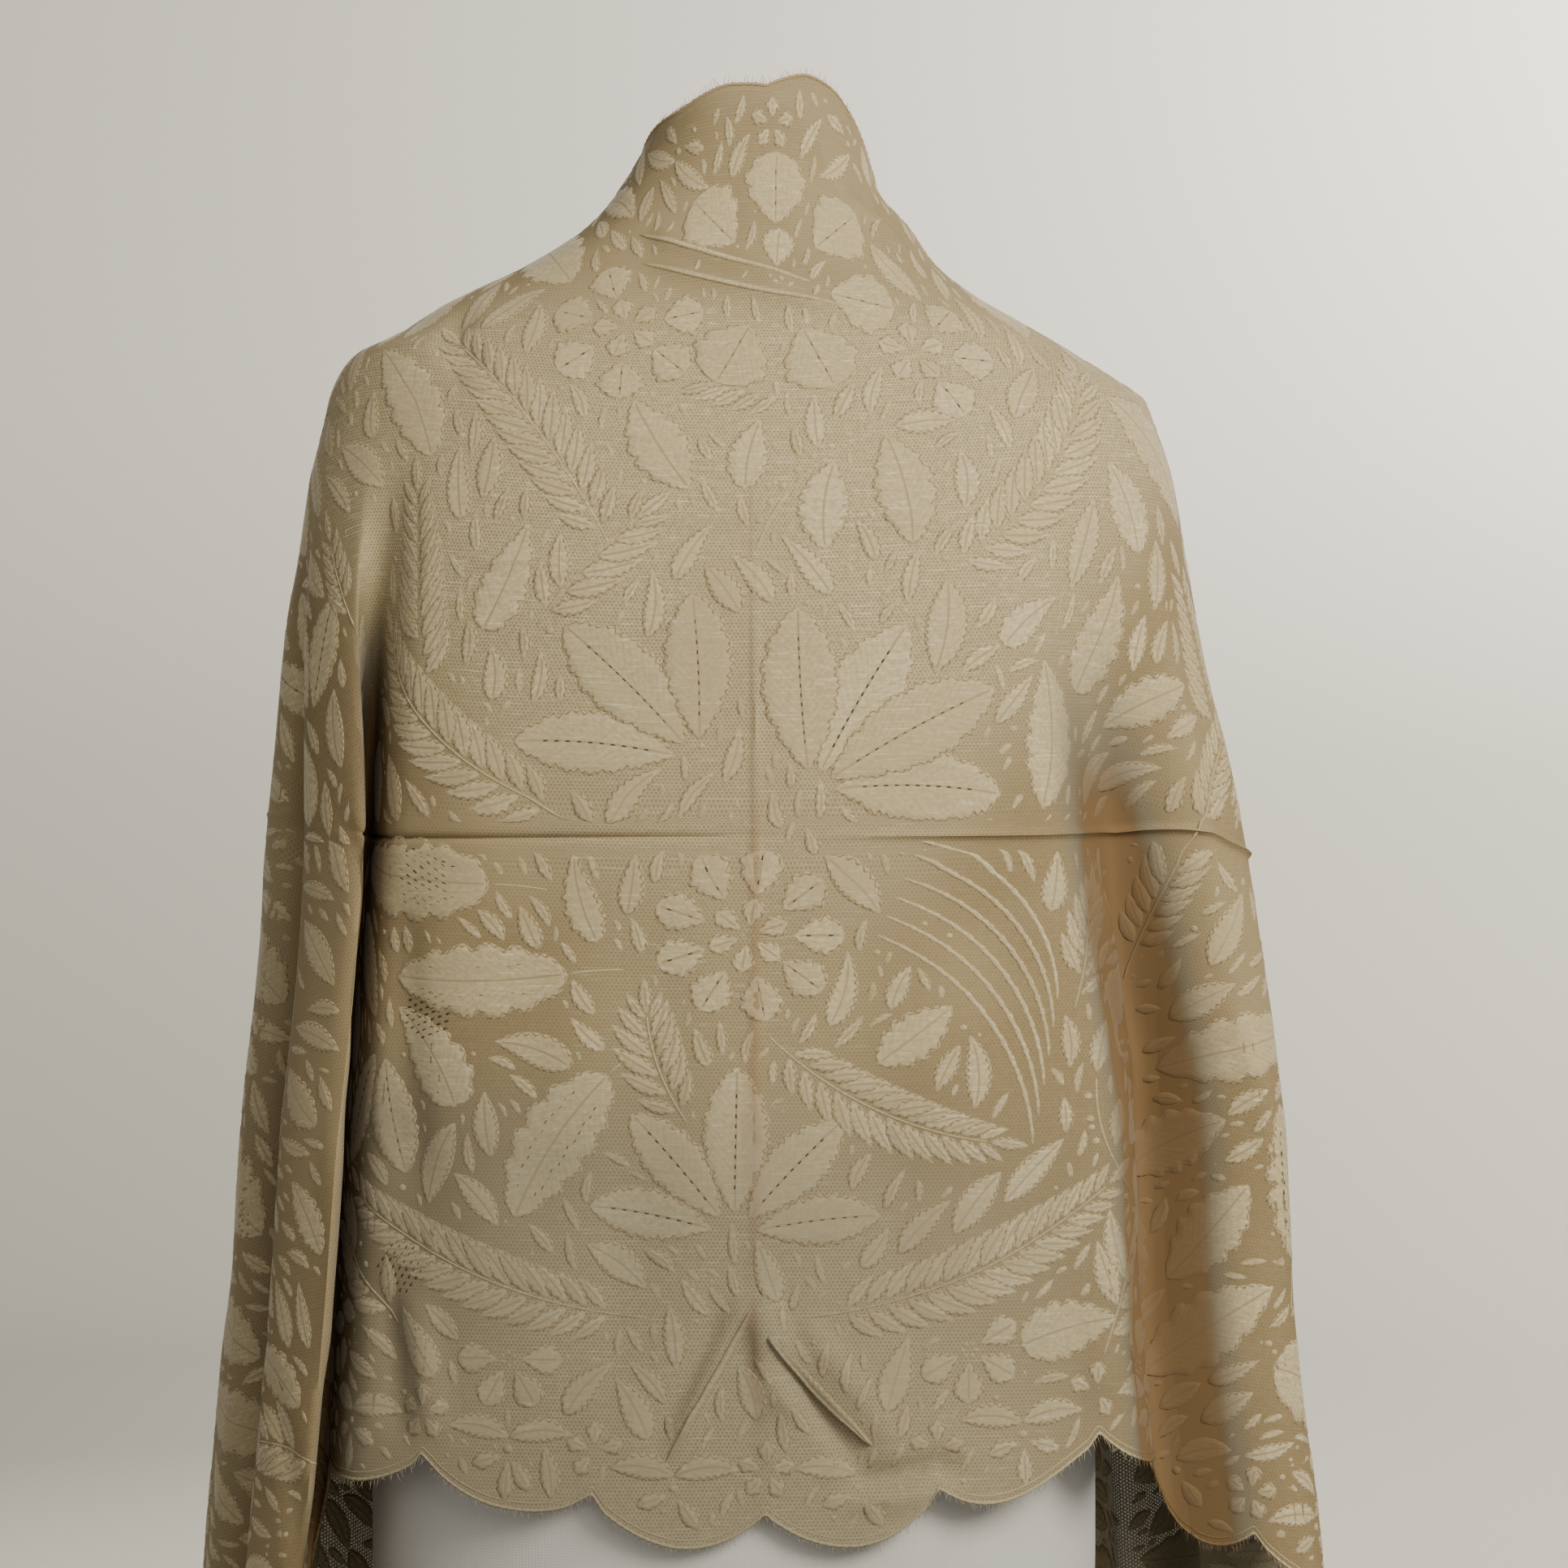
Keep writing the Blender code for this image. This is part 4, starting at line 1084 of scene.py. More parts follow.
# The main sprays of the sides and fronts: kind, angle and height on the form, turn from straight
# up, length, bend, size. They follow the back's, smaller towards the ends of the shawl.
SIDE_SPRAYS = (
    ("fan", -68, 1180, 20, 60, 0, 5), ("fern", -70, 960, 6, 150, -10, 18),
    ("leaf", -76, 860, -14, 70, 10, 16), ("fern", -98, 1020, 12, 160, -16, 20),
    ("leaf", -104, 1290, -30, 70, 20, 17), ("fan", -108, 870, -10, 74, 0, 5),
    ("fern", -114, 680, 8, 140, 20, 20), ("flower", -96, 800, 0, 26, 0, 6),
    ("scroll", -120, 1150, 30, 90, -70, 26), ("fan", -140, 1060, 30, 78, 0, 6),
    ("fern", -150, 800, -20, 170, 30, 22), ("leaf", -136, 900, 40, 84, -20, 19),
    ("fern", -140, 1210, -36, 120, 26, 18), ("flower", -150, 740, 20, 28, 0, 6),
    ("fan", -156, 640, 0, 66, 0, 5), ("fern", 74, 1080, -8, 170, 14, 19),
    ("leaf", 78, 900, -8, 76, 12, 17), ("fan", 92, 1160, -24, 70, 0, 5),
    ("fern", 104, 900, -14, 160, 16, 20), ("leaf", 108, 1240, 26, 74, -20, 18),
    ("fan", 110, 770, 12, 76, 0, 5), ("flower", 98, 740, 0, 26, 0, 6),
    ("scroll", 118, 1080, -30, 90, 70, 26), ("fan", 140, 1050, -30, 80, 0, 6),
    ("fern", 150, 790, 20, 170, -30, 22), ("leaf", 136, 910, -40, 84, 20, 19),
    ("fern", 140, 1200, 36, 120, -26, 18), ("flower", 152, 760, 20, 28, 0, 6),
    ("fan", 154, 670, 0, 66, 0, 5),
)


class Layout:
    """The worked shapes that have been given a place on the flat cloth, each where no other is.
    A raster of small cells keeps what is taken; cells off the cloth are taken from the start."""

    cell = 0.0012

    def __init__(self, whole):
        self.whole = whole
        places = whole.places
        self.low = places.low
        known = filled_in(~np.isnan(places.guess[..., 0]))
        repeat = places.cell / self.cell
        size = (np.array(known.shape) * repeat).astype(int)
        rows, columns = [np.clip((np.arange(n) / repeat).astype(int), 0, None) for n in size]
        self.taken = ~known[np.ix_(rows, columns)]
        self.made = {kind: [] for kind in PLATE_KINDS}
        sharp = whole.flat[whole.bend > SHARPEST_PLACE]
        at = self.cell_of(sharp)
        for move in np.ndindex(5, 5):
            near = np.clip(at + np.array(move) - 2, 0, np.array(self.taken.shape) - 1)
            self.taken[near[:, 0], near[:, 1]] = True

    def cells(self, plate, gap):
        """Cells under a plate that is a gap wider and longer than it is."""
        steps = int(plate.length / self.cell) + 2
        across = int(2 * plate.half_width / self.cell) + 3
        more = gap / plate.length
        share = np.linspace(-more, 1 + more, steps)[:, None]
        side = np.linspace(-1, 1, across)
        wide = plate._replace(half_width=plate.half_width + gap)
        return self.cell_of(flat_places(wide, share, side)[0].reshape(-1, 2))

    def cell_of(self, places):
        at = ((places - self.low) / self.cell).astype(int)
        return np.clip(at, 0, np.array(self.taken.shape) - 1)

    def free(self, plate, allowed=0.0):
        """Whether a plate's cells are free, but for an allowed share. Its spine is tried first."""
        if allowed == 0.0:
            u, v, _ = arc_place(plate, SPINE_SHARES)
            at = self.cell_of(np.stack([u, v], axis=-1))
            if self.taken[at[:, 0], at[:, 1]].any():
                return False
        at = self.cells(plate, PLATE_GAP)
        return self.taken[at[:, 0], at[:, 1]].mean() <= allowed

    def place(self, kind, plate):
        at = self.cells(plate, 0.0)
        self.taken[at[:, 0], at[:, 1]] = True
        self.made[kind].append(plate)

    def try_spray(self, plates, least=0.0):
        """Gives the free ones of a spray's plates their places, if enough of them are free."""
        plates = list(plates)
        free = [kind in ("eyelet", "band") or self.free(plate, LEAF_OVERLAP) for kind, plate in plates]
        if sum(free) < least * len(plates):
            return
        kept = True
        for (kind, plate), is_free in zip(plates, free):
            if kind == "eyelet":
                if kept:
                    self.made[kind].append(plate)
                continue
            kept = is_free and (kind != "band" or self.free(plate, STEM_OVERLAP))
            if kept:
                self.place(kind, plate)


SPINE_SHARES = np.array([0.0, 0.35, 0.7, 1.0])
LEAF_OVERLAP = 0.12
STEM_OVERLAP = 0.25


def spray_plates(kind, u, v, direction, length, bend, size):
    """The plates of one row of a table of sprays, from its length and size in millimetres."""
    unit = 1 if kind in ("fan", "flower", "rose") else MM
    return SPRAYS[kind](u, v, direction, length / MM, bend, size / unit)


def filled_in(known):
    """A raster with its one-cell gaps filled and its outermost cells taken away."""
    filled = known.copy()
    filled[1:-1] |= known[:-2] & known[2:]
    filled[:, 1:-1] |= known[:, :-2] & known[:, 2:]
    inner = filled.copy()
    for _ in range(2):
        inner[1:-1, 1:-1] = (
            inner[1:-1, 1:-1] & inner[:-2, 1:-1] & inner[2:, 1:-1] & inner[1:-1, :-2] & inner[1:-1, 2:]
        )
    return inner


def border(layout, row, table):
    """In each scallop a fan of petals, eyelets along its curve and a pair of leaves over it, and
    a small flower over each notch."""
    whole = layout.whole
    notches, middles = notch_angles(table)
    edge = whole.flat[row]
    inside = whole.flat[row + (24 if row == 0 else -24)]

    def tip_at(angle):
        column = int(round(np.interp(angle, whole.angles, np.arange(len(whole.angles)))))
        return edge[column], unit(inside[column] - edge[column])

    for tip, inward in map(tip_at, middles):
        turn = math.degrees(math.atan2(*inward[::-1]))
        centre = tip + 0.0235 * inward
        for index in range(-2, 3):
            way = turn + 180 + index * 36.0
            reach = 0.0185 - 0.0016 * abs(index)
            petal = Plate(*beside(*centre, way, 0.0022), way, reach, 0.0046, 0.0, 1.5, 0.6)
            layout.try_spray([(plate_kind(petal), petal)])
        layout.try_spray([("tiny", berry(*(centre + 0.0025 * inward), 0.0024))])
        for side in (-1, 1):
            start = centre + 0.0075 * inward
            leaf_plate = Plate(*start, turn + side * 62, 0.03, 0.0062, side * 44, 0.9, 0.7)
            layout.try_spray([(plate_kind(leaf_plate), leaf_plate)])
    for tip, inward in map(tip_at, notches):
        layout.try_spray(flower(*(tip + 0.0185 * inward), 15, 0.013, 0, 5))


def fill(layout, random):
    """Fills the ground left over: ferny sprigs, then leaves, then smaller leaves and berries,
    all streaming up and out from below the middle of the hem as the main sprays do."""
    for kind, tries, shortest, longest in FILLERS:
        free = np.argwhere(~layout.taken)
        for cell in free[random.choice(len(free), min(tries, len(free)), replace=False)]:
            if layout.taken[cell[0], cell[1]]:
                continue
            u, v = layout.low + (cell + 0.5) * layout.cell
            length = random.uniform(shortest, longest)
            stream = math.degrees(math.atan2(v + 0.16, u)) + 20 * math.sin(u * 31 + v * 17)
            way = stream + random.uniform(-28, 28)
            bend = random.uniform(-40, 40)
            if kind == "sprig":
                layout.try_spray(fern(u, v, way, length, bend, 0.36 * length), 0.75)
            elif kind == "berry":
                layout.try_spray([("tiny", berry(u, v, length))])
            else:
                width = length * random.uniform(0.2, 0.31)
                widest = random.uniform(0.62, 1.05)
                lobes = 6 if kind == "lobed" else 0
                for scale in (1.0, 0.84, 0.7):
                    size = (scale * length, scale * width)
                    plate = Plate(u, v, way, *size, bend, widest, 0.74, lobes, 0.2)
                    if layout.free(plate):
                        layout.place(plate_kind(plate), plate)
                        break


FILLERS = (
    ("lobed", 1200, 0.052, 0.085),
    ("sprig", 900, 0.05, 0.08),
    ("leaf", 4500, 0.03, 0.048),
    ("leaf", 7000, 0.017, 0.029),
    ("leaf", 9000, 0.009, 0.016),
    ("berry", 900, 0.0012, 0.002),
)


@functools.lru_cache(maxsize=1)
def laid_out():
    """All worked shapes of the shawl."""
    whole = cloth()
    layout = Layout(whole)
    for tuck in TUCKS:
        start, end = (whole.spot(*place)[0] for place in (tuck[:2], tuck[2:4]))
        length, way = np.linalg.norm(end - start), math.degrees(math.atan2(*(end - start)[::-1]))
        pleat = Plate(*start, way, length, tuck.half_width, tuck.bend, 0.8, 0.36, rise=tuck.rise)
        layout.place("slim", pleat)
    border(layout, len(whole.heights) - 1, HEM)
    border(layout, 0, NECK_EDGE)
    for kind, u, v, *rest in BACK_SPRAYS:
        layout.try_spray(spray_plates(kind, u / MM, v / MM, *rest))
    for kind, angle, height, turn, *rest in SIDE_SPRAYS:
        place, up = whole.spot(angle, height / MM)
        layout.try_spray(spray_plates(kind, *place, up + turn, *rest))
    fill(layout, np.random.default_rng(31))
    return layout


def plate_grid(kind):
    """Shares along and across a plate, with one line of points close inside the rim, and the
    corner numbers of the faces of its two sides, which share the points of the rim."""
    along, across = PLATE_KINDS[kind][:2]
    side = np.arange((along + 1) * (across + 1)).reshape(along + 1, across + 1)
    back = side.copy()
    back[1:-1, 1:-1] = side.size + np.arange((along - 1) * (across - 1)).reshape(along - 1, -1)
    corners = grid_quads(along + 1, across + 1)
    return along, across, np.concatenate([corners, back.ravel()[corners[:, ::-1]]])


def plate_shares(plates, along, across):
    """Shares along and across each plate, with the shoulder at its own distance from the rim."""
    inner = np.linspace(0, 1, along - 1)
    first = np.minimum(0.0007 / plates.length, 0.5 / along)
    share = np.concatenate([0 * first, first + (1 - 2 * first) * inner, 0 * first + 1], axis=1)
    half = half_widths(plates, share)
    rim = 1 - np.minimum(SHOULDER / half, 0.45)
    steps = np.linspace(-1, 1, across - 1) if across > 2 else np.zeros(1)
    edge = np.ones((*rim.shape, 1))
    sides = np.concatenate([-edge, rim[..., None] * steps, edge], axis=2)
    return share, half, sides


MOST_SAG = 0.00035
MOST_UNDER = 0.0006


def plate_batch(kind, plates, random):
    """Points, faces, flat places, own coordinates, rim distance and tone for one kind's plates.
    A plate is a lens of cloth: its two sides meet at the rim and stand off the net's middle by
    its rise, steeply within the shoulder and then level, lower along the midrib. Where the cloth
    is bent, the rise grows by how far a flat cell would sink below it, bend * length² / 8."""
    whole = cloth()
    along, across, faces = plate_grid(kind)
    plates = Plate(*[column[:, None] for column in np.array(plates, dtype=float).T])
    share, half, sides = plate_shares(plates, along, across)
    spread = Plate(*[field[..., None] for field in plates])
    flat, reach = flat_places(spread, share[..., None], sides)
    count = len(flat)
    found, on_cloth = whole.places.find(flat.reshape(-1, 2))
    good = on_cloth.reshape(count, -1).all(axis=1)
    lengths = spread.length
    ends = lengths * np.minimum(share, 1 - share)[..., None]
    rim = np.minimum(half[..., None] * (1 - np.abs(sides)), ends)

    def here(grid):
        return between(grid, *found.T).reshape(*flat.shape[:3], -1)

    cell = np.maximum(lengths / along, 2 * half[..., None] / max(across - 2, 1))
    sag = np.minimum(here(whole.bend)[..., 0] * cell**2 / 8, MOST_SAG)
    tone = np.broadcast_to(random.uniform(0, 1, (count, 1, 1)), sides.shape)
    rise = spread.rise * (0.9 + 0.35 * tone)
    lift = ease(np.clip(rim / SHOULDER, 0, 1)) * (rise + sag)
    if kind in ("slim", "big"):
        lift = lift * (1 - 0.25 * (np.abs(sides) < 0.02))
    middle, out, age = here(whole.points), unit(here(whole.out)), here(whole.age)
    motif = np.stack([share[..., None] * lengths + 0 * sides, reach + 0 * sides], axis=-1)
    over, under = out * lift[..., None], out * np.minimum(lift, MOST_UNDER)[..., None]
    centre = found.reshape(*flat.shape[:3], 2)[:, along // 2, across // 2]
    fields = [flat, motif, rim[..., None], tone[..., None], age]
    both = [doubled(middle + over, middle - under), *(doubled(value, value) for value in fields)]
    return [value[good] for value in both], faces, centre[good]


def doubled(front, back):
    """Front points and, after them, the back points that aren't on the rim, plate by plate."""
    count, parts = front.shape[0], front.shape[-1]
    inner = back[:, 1:-1, 1:-1].reshape(count, -1, parts)
    return np.concatenate([front.reshape(count, -1, parts), inner], axis=1)


def stretch_of(places):
    """Index of the stretch grid that each fractional row and column is on."""
    found = np.zeros(len(places), int)
    for index, (_, top, low, first, last, _) in enumerate(stretch_grids()):
        row, column = places[:, 0], places[:, 1]
        found[(row >= top) & (row < low + 1e-6) & (column >= first) & (column < last + 1e-6)] = index
    return found


def build_plates(kinds, suffix, material):
    """One object for each stretch with all its plates of the given kinds."""
    random = np.random.default_rng(7)
    batches = []
    for kind in kinds:
        values, faces, centres = plate_batch(kind, laid_out().made[kind], random)
        batches.append((values, faces, stretch_of(centres)))
    for index, (name, *_) in enumerate(stretch_grids()):
        columns, quads, start = [], [], 0
        for values, faces, stretch in batches:
            picked = [value[stretch == index] for value in values]
            count, points = picked[0].shape[:2]
            numbers = faces[None] + (start + points * np.arange(count))[:, None, None]
            quads.append(numbers.reshape(-1, 4))
            columns.append([value.reshape(-1, value.shape[-1]) for value in picked])
            start += count * points
        if start == 0:
            continue
        points, flat, motif, rim, tone, age = [np.concatenate(parts) for parts in zip(*columns)]
        maps = [("cut", flat), ("motif", motif)]
        fields = [("rim", rim.ravel()), ("tone", tone.ravel()), ("age", age)]
        new_piece(name + suffix, points, np.concatenate(quads), material, maps, fields, "lace")


def edge_runs():
    """The shawl's edges: stretch, points, outward directions, directions off the edge within the cloth,
    flat places, and age with painted shade."""
    whole = cloth()
    last_row, last_column = (n - 1 for n in whole.heights.shape)
    for name, top, low, first, last, _ in stretch_grids():
        runs = (
            (low == last_row, np.s_[last_row, first : last + 1], whole.down, 1),
            (top == 0, np.s_[0, first : last + 1], -whole.down, -1),
            (first == 0, np.s_[:, 0], -whole.along, 1),
            (last == last_column, np.s_[:, last_column], whole.along, -1),
        )
        for is_edge, window, off, step in runs:
            if is_edge:
                fields = (whole.points, whole.out, off, whole.flat, whole.age)
                yield (name, *[field[window][::step] for field in fields])


def respaced(run, pitch, inset=0.0):
    """A run's values again at an even pitch along its length, moved in from the edge."""
    points, out, off, flat, age = run
    length = lengths_along(points)
    wanted = np.linspace(0, length[-1], max(2, round(length[-1] / pitch)) + 1)

    def at(values):
        return np.stack([np.interp(wanted, length, column) for column in values.T], axis=-1)

    points, out, off = at(points), unit(at(out)), unit(at(off))
    return wanted, points - inset * off, out, off, at(flat), at(age)


def cord(run, radius, bead, inset, sides, pitch):
    """A closed cord along a run of the edge, thicker and thinner in turn like a row of beads."""
    wanted, points, out, off, flat, age = respaced(run, pitch, inset)
    turn = np.linspace(0, 2 * math.pi, sides, endpoint=False)
    swell = radius * (1 + bead * np.cos(math.pi * np.arange(len(wanted))))
    swell[[0, -1]] *= 0.6
    ring = np.cos(turn)[:, None] * out[:, None] + np.sin(turn)[:, None] * off[:, None]
    made = points[:, None] + swell[:, None, None] * ring
    rows = len(wanted)
    quads = tube_quads(rows, sides)
    caps = np.array([[0, 1, 2, 3], [0, 3, 4, 5]])[: sides // 2 - 1]
    quads = np.concatenate([quads, caps[:, ::-1], caps + (rows - 1) * sides])
    motif = np.stack(np.broadcast_arrays(wanted[:, None], turn * radius), axis=-1)
    flat, age = np.repeat(flat, sides, 0), np.repeat(age, sides, 0)
    return made.reshape(-1, 3), quads, flat, motif.reshape(-1, 2), age


def hairs(run, random):
    """Short eyelash threads standing off a run of the edge: thin four-sided prisms of two parts,
    each with its own length, lean and curl."""
    _, points, out, off, flat, age = respaced(run, HAIR_PITCH)
    count = len(points)
    along = unit(np.cross(out, off))
    lean, rise, curl = random.normal(0, (0.38, 0.22, 0.0006), (count, 3)).T[:, :, None]
    length = random.uniform(*HAIR_LENGTHS, (count, 1))
    way = unit(off + lean * along + rise * out)
    side = unit(np.cross(way, out))
    front = np.cross(way, side)
    rings = []
    for share, radius in ((0.0, 0.00017), (0.5, 0.00013), (1.0, 0.00006)):
        middle = points + way * length * share + curl * share * share * side
        corners = (side, front, -side, -front)
        rings.append(np.stack([middle + radius * corner for corner in corners], axis=1))
    made = np.stack(rings, axis=1)
    one = np.concatenate([tube_quads(3, 4), [[3, 2, 1, 0]], [[8, 9, 10, 11]]])
    quads = (one[None] + 12 * np.arange(count)[:, None, None]).reshape(-1, 4)
    motif = np.zeros((count * 12, 2))
    return made.reshape(-1, 3), quads, np.repeat(flat, 12, 0), motif, np.repeat(age, 12, 0)


HAIR_PITCH = 0.0019
HAIR_LENGTHS = (0.0026, 0.0056)


def build_edging(material):
    """Each stretch's beaded edge cord, a thinner cord inside it and the eyelash threads."""
    random = np.random.default_rng(12)
    made = {}
    for name, *run in edge_runs():
        parts = made.setdefault(name, [])
        parts.append(cord(run, 0.00085, 0.22, 0.0, 6, 0.0018))
        parts.append(cord(run, 0.00052, 0.0, 0.0032, 4, 0.0024))
        parts.append(hairs(run, random))
    for name, parts in made.items():
        starts = np.cumsum([0] + [len(points) for points, *_ in parts[:-1]])
        points, flat, motif, age = (np.concatenate([part[k] for part in parts]) for k in (0, 2, 3, 4))
        quads = np.concatenate([part[1] + start for part, start in zip(parts, starts)])
        maps = [("cut", flat), ("motif", motif)]
        new_piece(name + "_edging", points, quads, material, maps, [("age", age)], "lace")


class Wire:
    """An output of a material's node. Sums and products of wires, and the methods here, add the
    nodes that work them out. A wire may be fed wherever a number or a colour may."""

    def __init__(self, socket):
        self.socket = socket

    def to(self, kind, inputs, output=0, **settings):
        return wired(self.socket.id_data, kind, inputs, output, **settings)

    def math(self, operation, *others):
        return self.to("ShaderNodeMath", dict(enumerate((self, *others))), operation=operation)

    def __add__(self, other):
        return self.math("ADD", other)

    def __sub__(self, other):
        return self.math("SUBTRACT", other)

    def __mul__(self, other):
        return self.math("MULTIPLY", other)

    def parts(self):
        """The three parts of a vector."""
        first = self.to("ShaderNodeSeparateXYZ", {"Vector": self})
        return [Wire(output) for output in first.socket.node.outputs]

    def scaled(self, *scale):
        """A vector with each part multiplied by its own number."""
        return self.to("ShaderNodeVectorMath", {0: self, 1: scale}, operation="MULTIPLY")

    def steps(self, low, high, start=0.0, end=1.0):
        """Smoothly from start to end as this goes from low to high."""
        inputs = {"Value": self, "From Min": low, "From Max": high, "To Min": start, "To Max": end}
        return self.to("ShaderNodeMapRange", inputs, interpolation_type="SMOOTHSTEP")

    def noise(self, scale, detail, roughness=0.55):
        inputs = {"Vector": self, "Scale": scale, "Detail": detail, "Roughness": roughness}
        return self.to("ShaderNodeTexNoise", inputs)

    def wave(self, pitch):
        """A wave between 0 and 1 that repeats at a pitch, in this wire's own unit."""
        return (self * (2 * math.pi / pitch)).math("SINE").math("MULTIPLY_ADD", 0.5, 0.5)

    def mix(self, a, b):
        """Colour a where this is 0 and b where it is 1."""
        return self.to("ShaderNodeMix", {"Factor": self, 6: a, 7: b}, 2, data_type="RGBA")

    def bump(self, distance, strength):
        return self.to("ShaderNodeBump", {"Height": self, "Distance": distance, "Strength": strength})


def feed(socket, value):
    """Links a wire to a socket, or sets the socket's own value. A colour is given its alpha."""
    if isinstance(value, Wire):
        socket.id_data.links.new(value.socket, socket)
    else:
        socket.default_value = (*value, 1.0) if socket.type == "RGBA" else value


def wired(tree, kind, inputs=None, output=0, **settings):
    """A new node with its settings and inputs, as the wire of one of its outputs."""
    made = tree.nodes.new(kind)
    for key, value in settings.items():
        setattr(made, key, value)
    for key, value in (inputs or {}).items():
        feed(made.inputs[key], value)
    return Wire(made.outputs[output])


class Recipe:
    """A new material and the wires that its patterns start from."""

    def __init__(self, name):
        self.material = bpy.data.materials.new(name)
        self.material.use_nodes = True
        self.tree = self.material.node_tree

    def place(self):
        return wired(self.tree, "ShaderNodeTexCoord", output="Object")

    def uv(self, label):
        return wired(self.tree, "ShaderNodeUVMap", uv_map=label)

    def attribute(self, label, output="Fac"):
        return wired(self.tree, "ShaderNodeAttribute", output=output, attribute_name=label)

    def age(self):
        """How much painted fold shade, how stained and how yellowed the cloth is, each from 0 to 1."""
        return self.attribute("age", "Vector").parts()

    def done(self, **values):
        """The material, with the shader's sockets fed, which are named with _ for a space."""
        shader = self.tree.nodes["Principled BSDF"]
        for key, value in values.items():
            feed(shader.inputs[key.replace("_", " ")], value)
        return self.material


def aged(recipe, colour, looks):
    """Darkens a thread colour with painted shade, brown in deep folds and grey where the cloth is only
    a little folded, and with the stain along the middle crease and the faint cloudy spots of old lace."""
    fold, stain, clouds = recipe.age()
    colour = (stain * looks.stain_strength).mix(colour, looks.stain_colour)
    colour = (clouds * looks.cloud_strength).mix(colour, looks.cloud_colour)
    # Painted shade: grey in the shallow folds, brown in the deep ones.
    shade = fold.steps(0.4, 0.75).mix(looks.shade_colour, looks.deep_fold_shade)
    return (fold.steps(0.05, 0.66) * looks.fold_strength).mix(colour, shade)


def cloth_finish(recipe, sheen=0.0, **values):
    cloth_sockets = {"Specular_IOR_Level": 0.25, "Sheen_Weight": sheen, "Sheen_Roughness": 0.45}
    return recipe.done(Roughness=0.85, **cloth_sockets, **values)


def threads(cut):
    """Noise stretched along u, for the uneven threads that lie straight across the cloth."""
    return cut.scaled(60.0, 1000.0, 1.0).noise(1.0, 1.0)


def mottled(cut, colour, looks):
    """A colour made uneven in soft spots a few millimetres wide, as worn thread is."""
    spots = cut.noise(380.0, 2.0, 0.75)
    return spots.steps(0.36, 0.68, 0.0, 0.5).mix(colour, looks.mottle_colour)


def net_material(looks):
    """The net ground: six-sided meshes, where three waves at 60 degrees to each other add up, between
    threads, with thin slubs across the cloth. The meshes are partly see-through, but for deep folds,
    and painted a little darker than the threads as painted shade. Where nothing is close behind, the
    ground is closer and painted browner, as painted shade."""
    recipe = Recipe("ecru net ground")
    cut = recipe.uv("cut")
    u, v, _ = cut.parts()
    half_u, half_v = u * 0.866, v * 0.5
    waves = [line.wave(looks.net_pitch) for line in (v, half_u + half_v, half_u - half_v)]
    hole = (waves[0] + waves[1] + waves[2]).steps(1.3, 2.2)
    # The open meshes are painted a little darker than the threads, as painted shade.
    base = hole.mix(looks.net_colour, looks.net_dark)
    base = threads(cut).steps(0.6, 0.7, 0.0, 0.8).mix(base, looks.slub_colour)
    behind = recipe.attribute("open_behind")
    # Painted shade: the net turns brown where nothing is close behind it.
    base = mottled(cut, (behind * 0.85).mix(base, looks.open_net_shade), looks)
    hidden = behind.math("MULTIPLY_ADD", 0.5 * (1 - looks.mesh_alpha), looks.mesh_alpha)
    cover = {"Value": hole, "To Min": looks.thread_alpha, "To Max": hidden}
    alpha = hole.to("ShaderNodeMapRange", cover).math("MAXIMUM", recipe.age()[0].steps(0.42, 0.75))
    return cloth_finish(recipe, Base_Color=aged(recipe, base, looks), Alpha=alpha)


def leafwork_material(looks):
    """Closely worked leaves: toothed at the rim, with a thin dark outline along the teeth, a fine
    grain of threads across the cloth, a line along the midrib and slanting veins beside it. The
    teeth are a wave along the leaf, up to a fifth of its half width and 1.3 mm deep."""
    recipe = Recipe("ecru leafwork")
    cut = recipe.uv("cut")
    along, across, _ = recipe.uv("motif").parts()
    away = across.math("ABSOLUTE")
    rim, tone, grain = recipe.attribute("rim"), recipe.attribute("tone"), threads(cut)
    vein = (along - away * 1.3).wave(0.0042).steps(0.72, 0.95) * away.steps(0.0015, 0.0035)
    midrib = away.steps(0.0003, 0.0007, 1.0, 0.0) * rim.steps(0.0018, 0.003)
    base = tone.mix(looks.leaf_colour, looks.leaf_tone)
    base = grain.steps(0.5, 0.3, 0.0, 0.55).mix(base, looks.leaf_dark)
    base = grain.steps(0.6, 0.7, 0.0, 0.6).mix(base, looks.slub_colour)
    lines = (vein * 0.14).math("MAXIMUM", midrib * 0.5)
    base = aged(recipe, mottled(cut, lines.mix(base, looks.outline_colour), looks), looks)
    teeth = ((rim + away) * 0.22).math("MINIMUM", 0.0013) * along.wave(looks.tooth_pitch)
    inside = rim - teeth
    between_teeth = inside.steps(0.0, 0.00025, 1.0, 0.0)
    base = between_teeth.mix(base, aged(recipe, looks.tooth_gap, looks))
    outline = inside.steps(0.00005, 0.0002) * inside.steps(0.0009, 0.00125, 1.0, 0.0)
    outline = outline * along.wave(0.0031).math("MULTIPLY_ADD", 0.45, 0.55)
    outline = outline * (rim + away).steps(0.0012, 0.003, 0.2, looks.outline_strength)
    relief = lines.math("MULTIPLY_ADD", -1.0, grain * 0.4).bump(0.0003, 0.5)
    base = outline.mix(base, looks.outline_colour)
    return cloth_finish(recipe, 0.15, Base_Color=base, Normal=relief)


def eyelet_material(looks):
    """Eyelets: the inside of a small worked hole, painted dark as the shade seen through it, with a
    lighter thread at its rim.
    """
    recipe = Recipe("worked eyelets")
    # Painted shade: the inside of each eyelet is dark or the brown of the open net.
    inside = (recipe.attribute("tone") * 0.35).mix(looks.eyelet_shade, looks.open_net_shade)
    ring = recipe.attribute("rim").steps(0.00008, 0.0002, 1.0, 0.0)
    return cloth_finish(recipe, Base_Color=ring.mix(inside, looks.outline_colour))


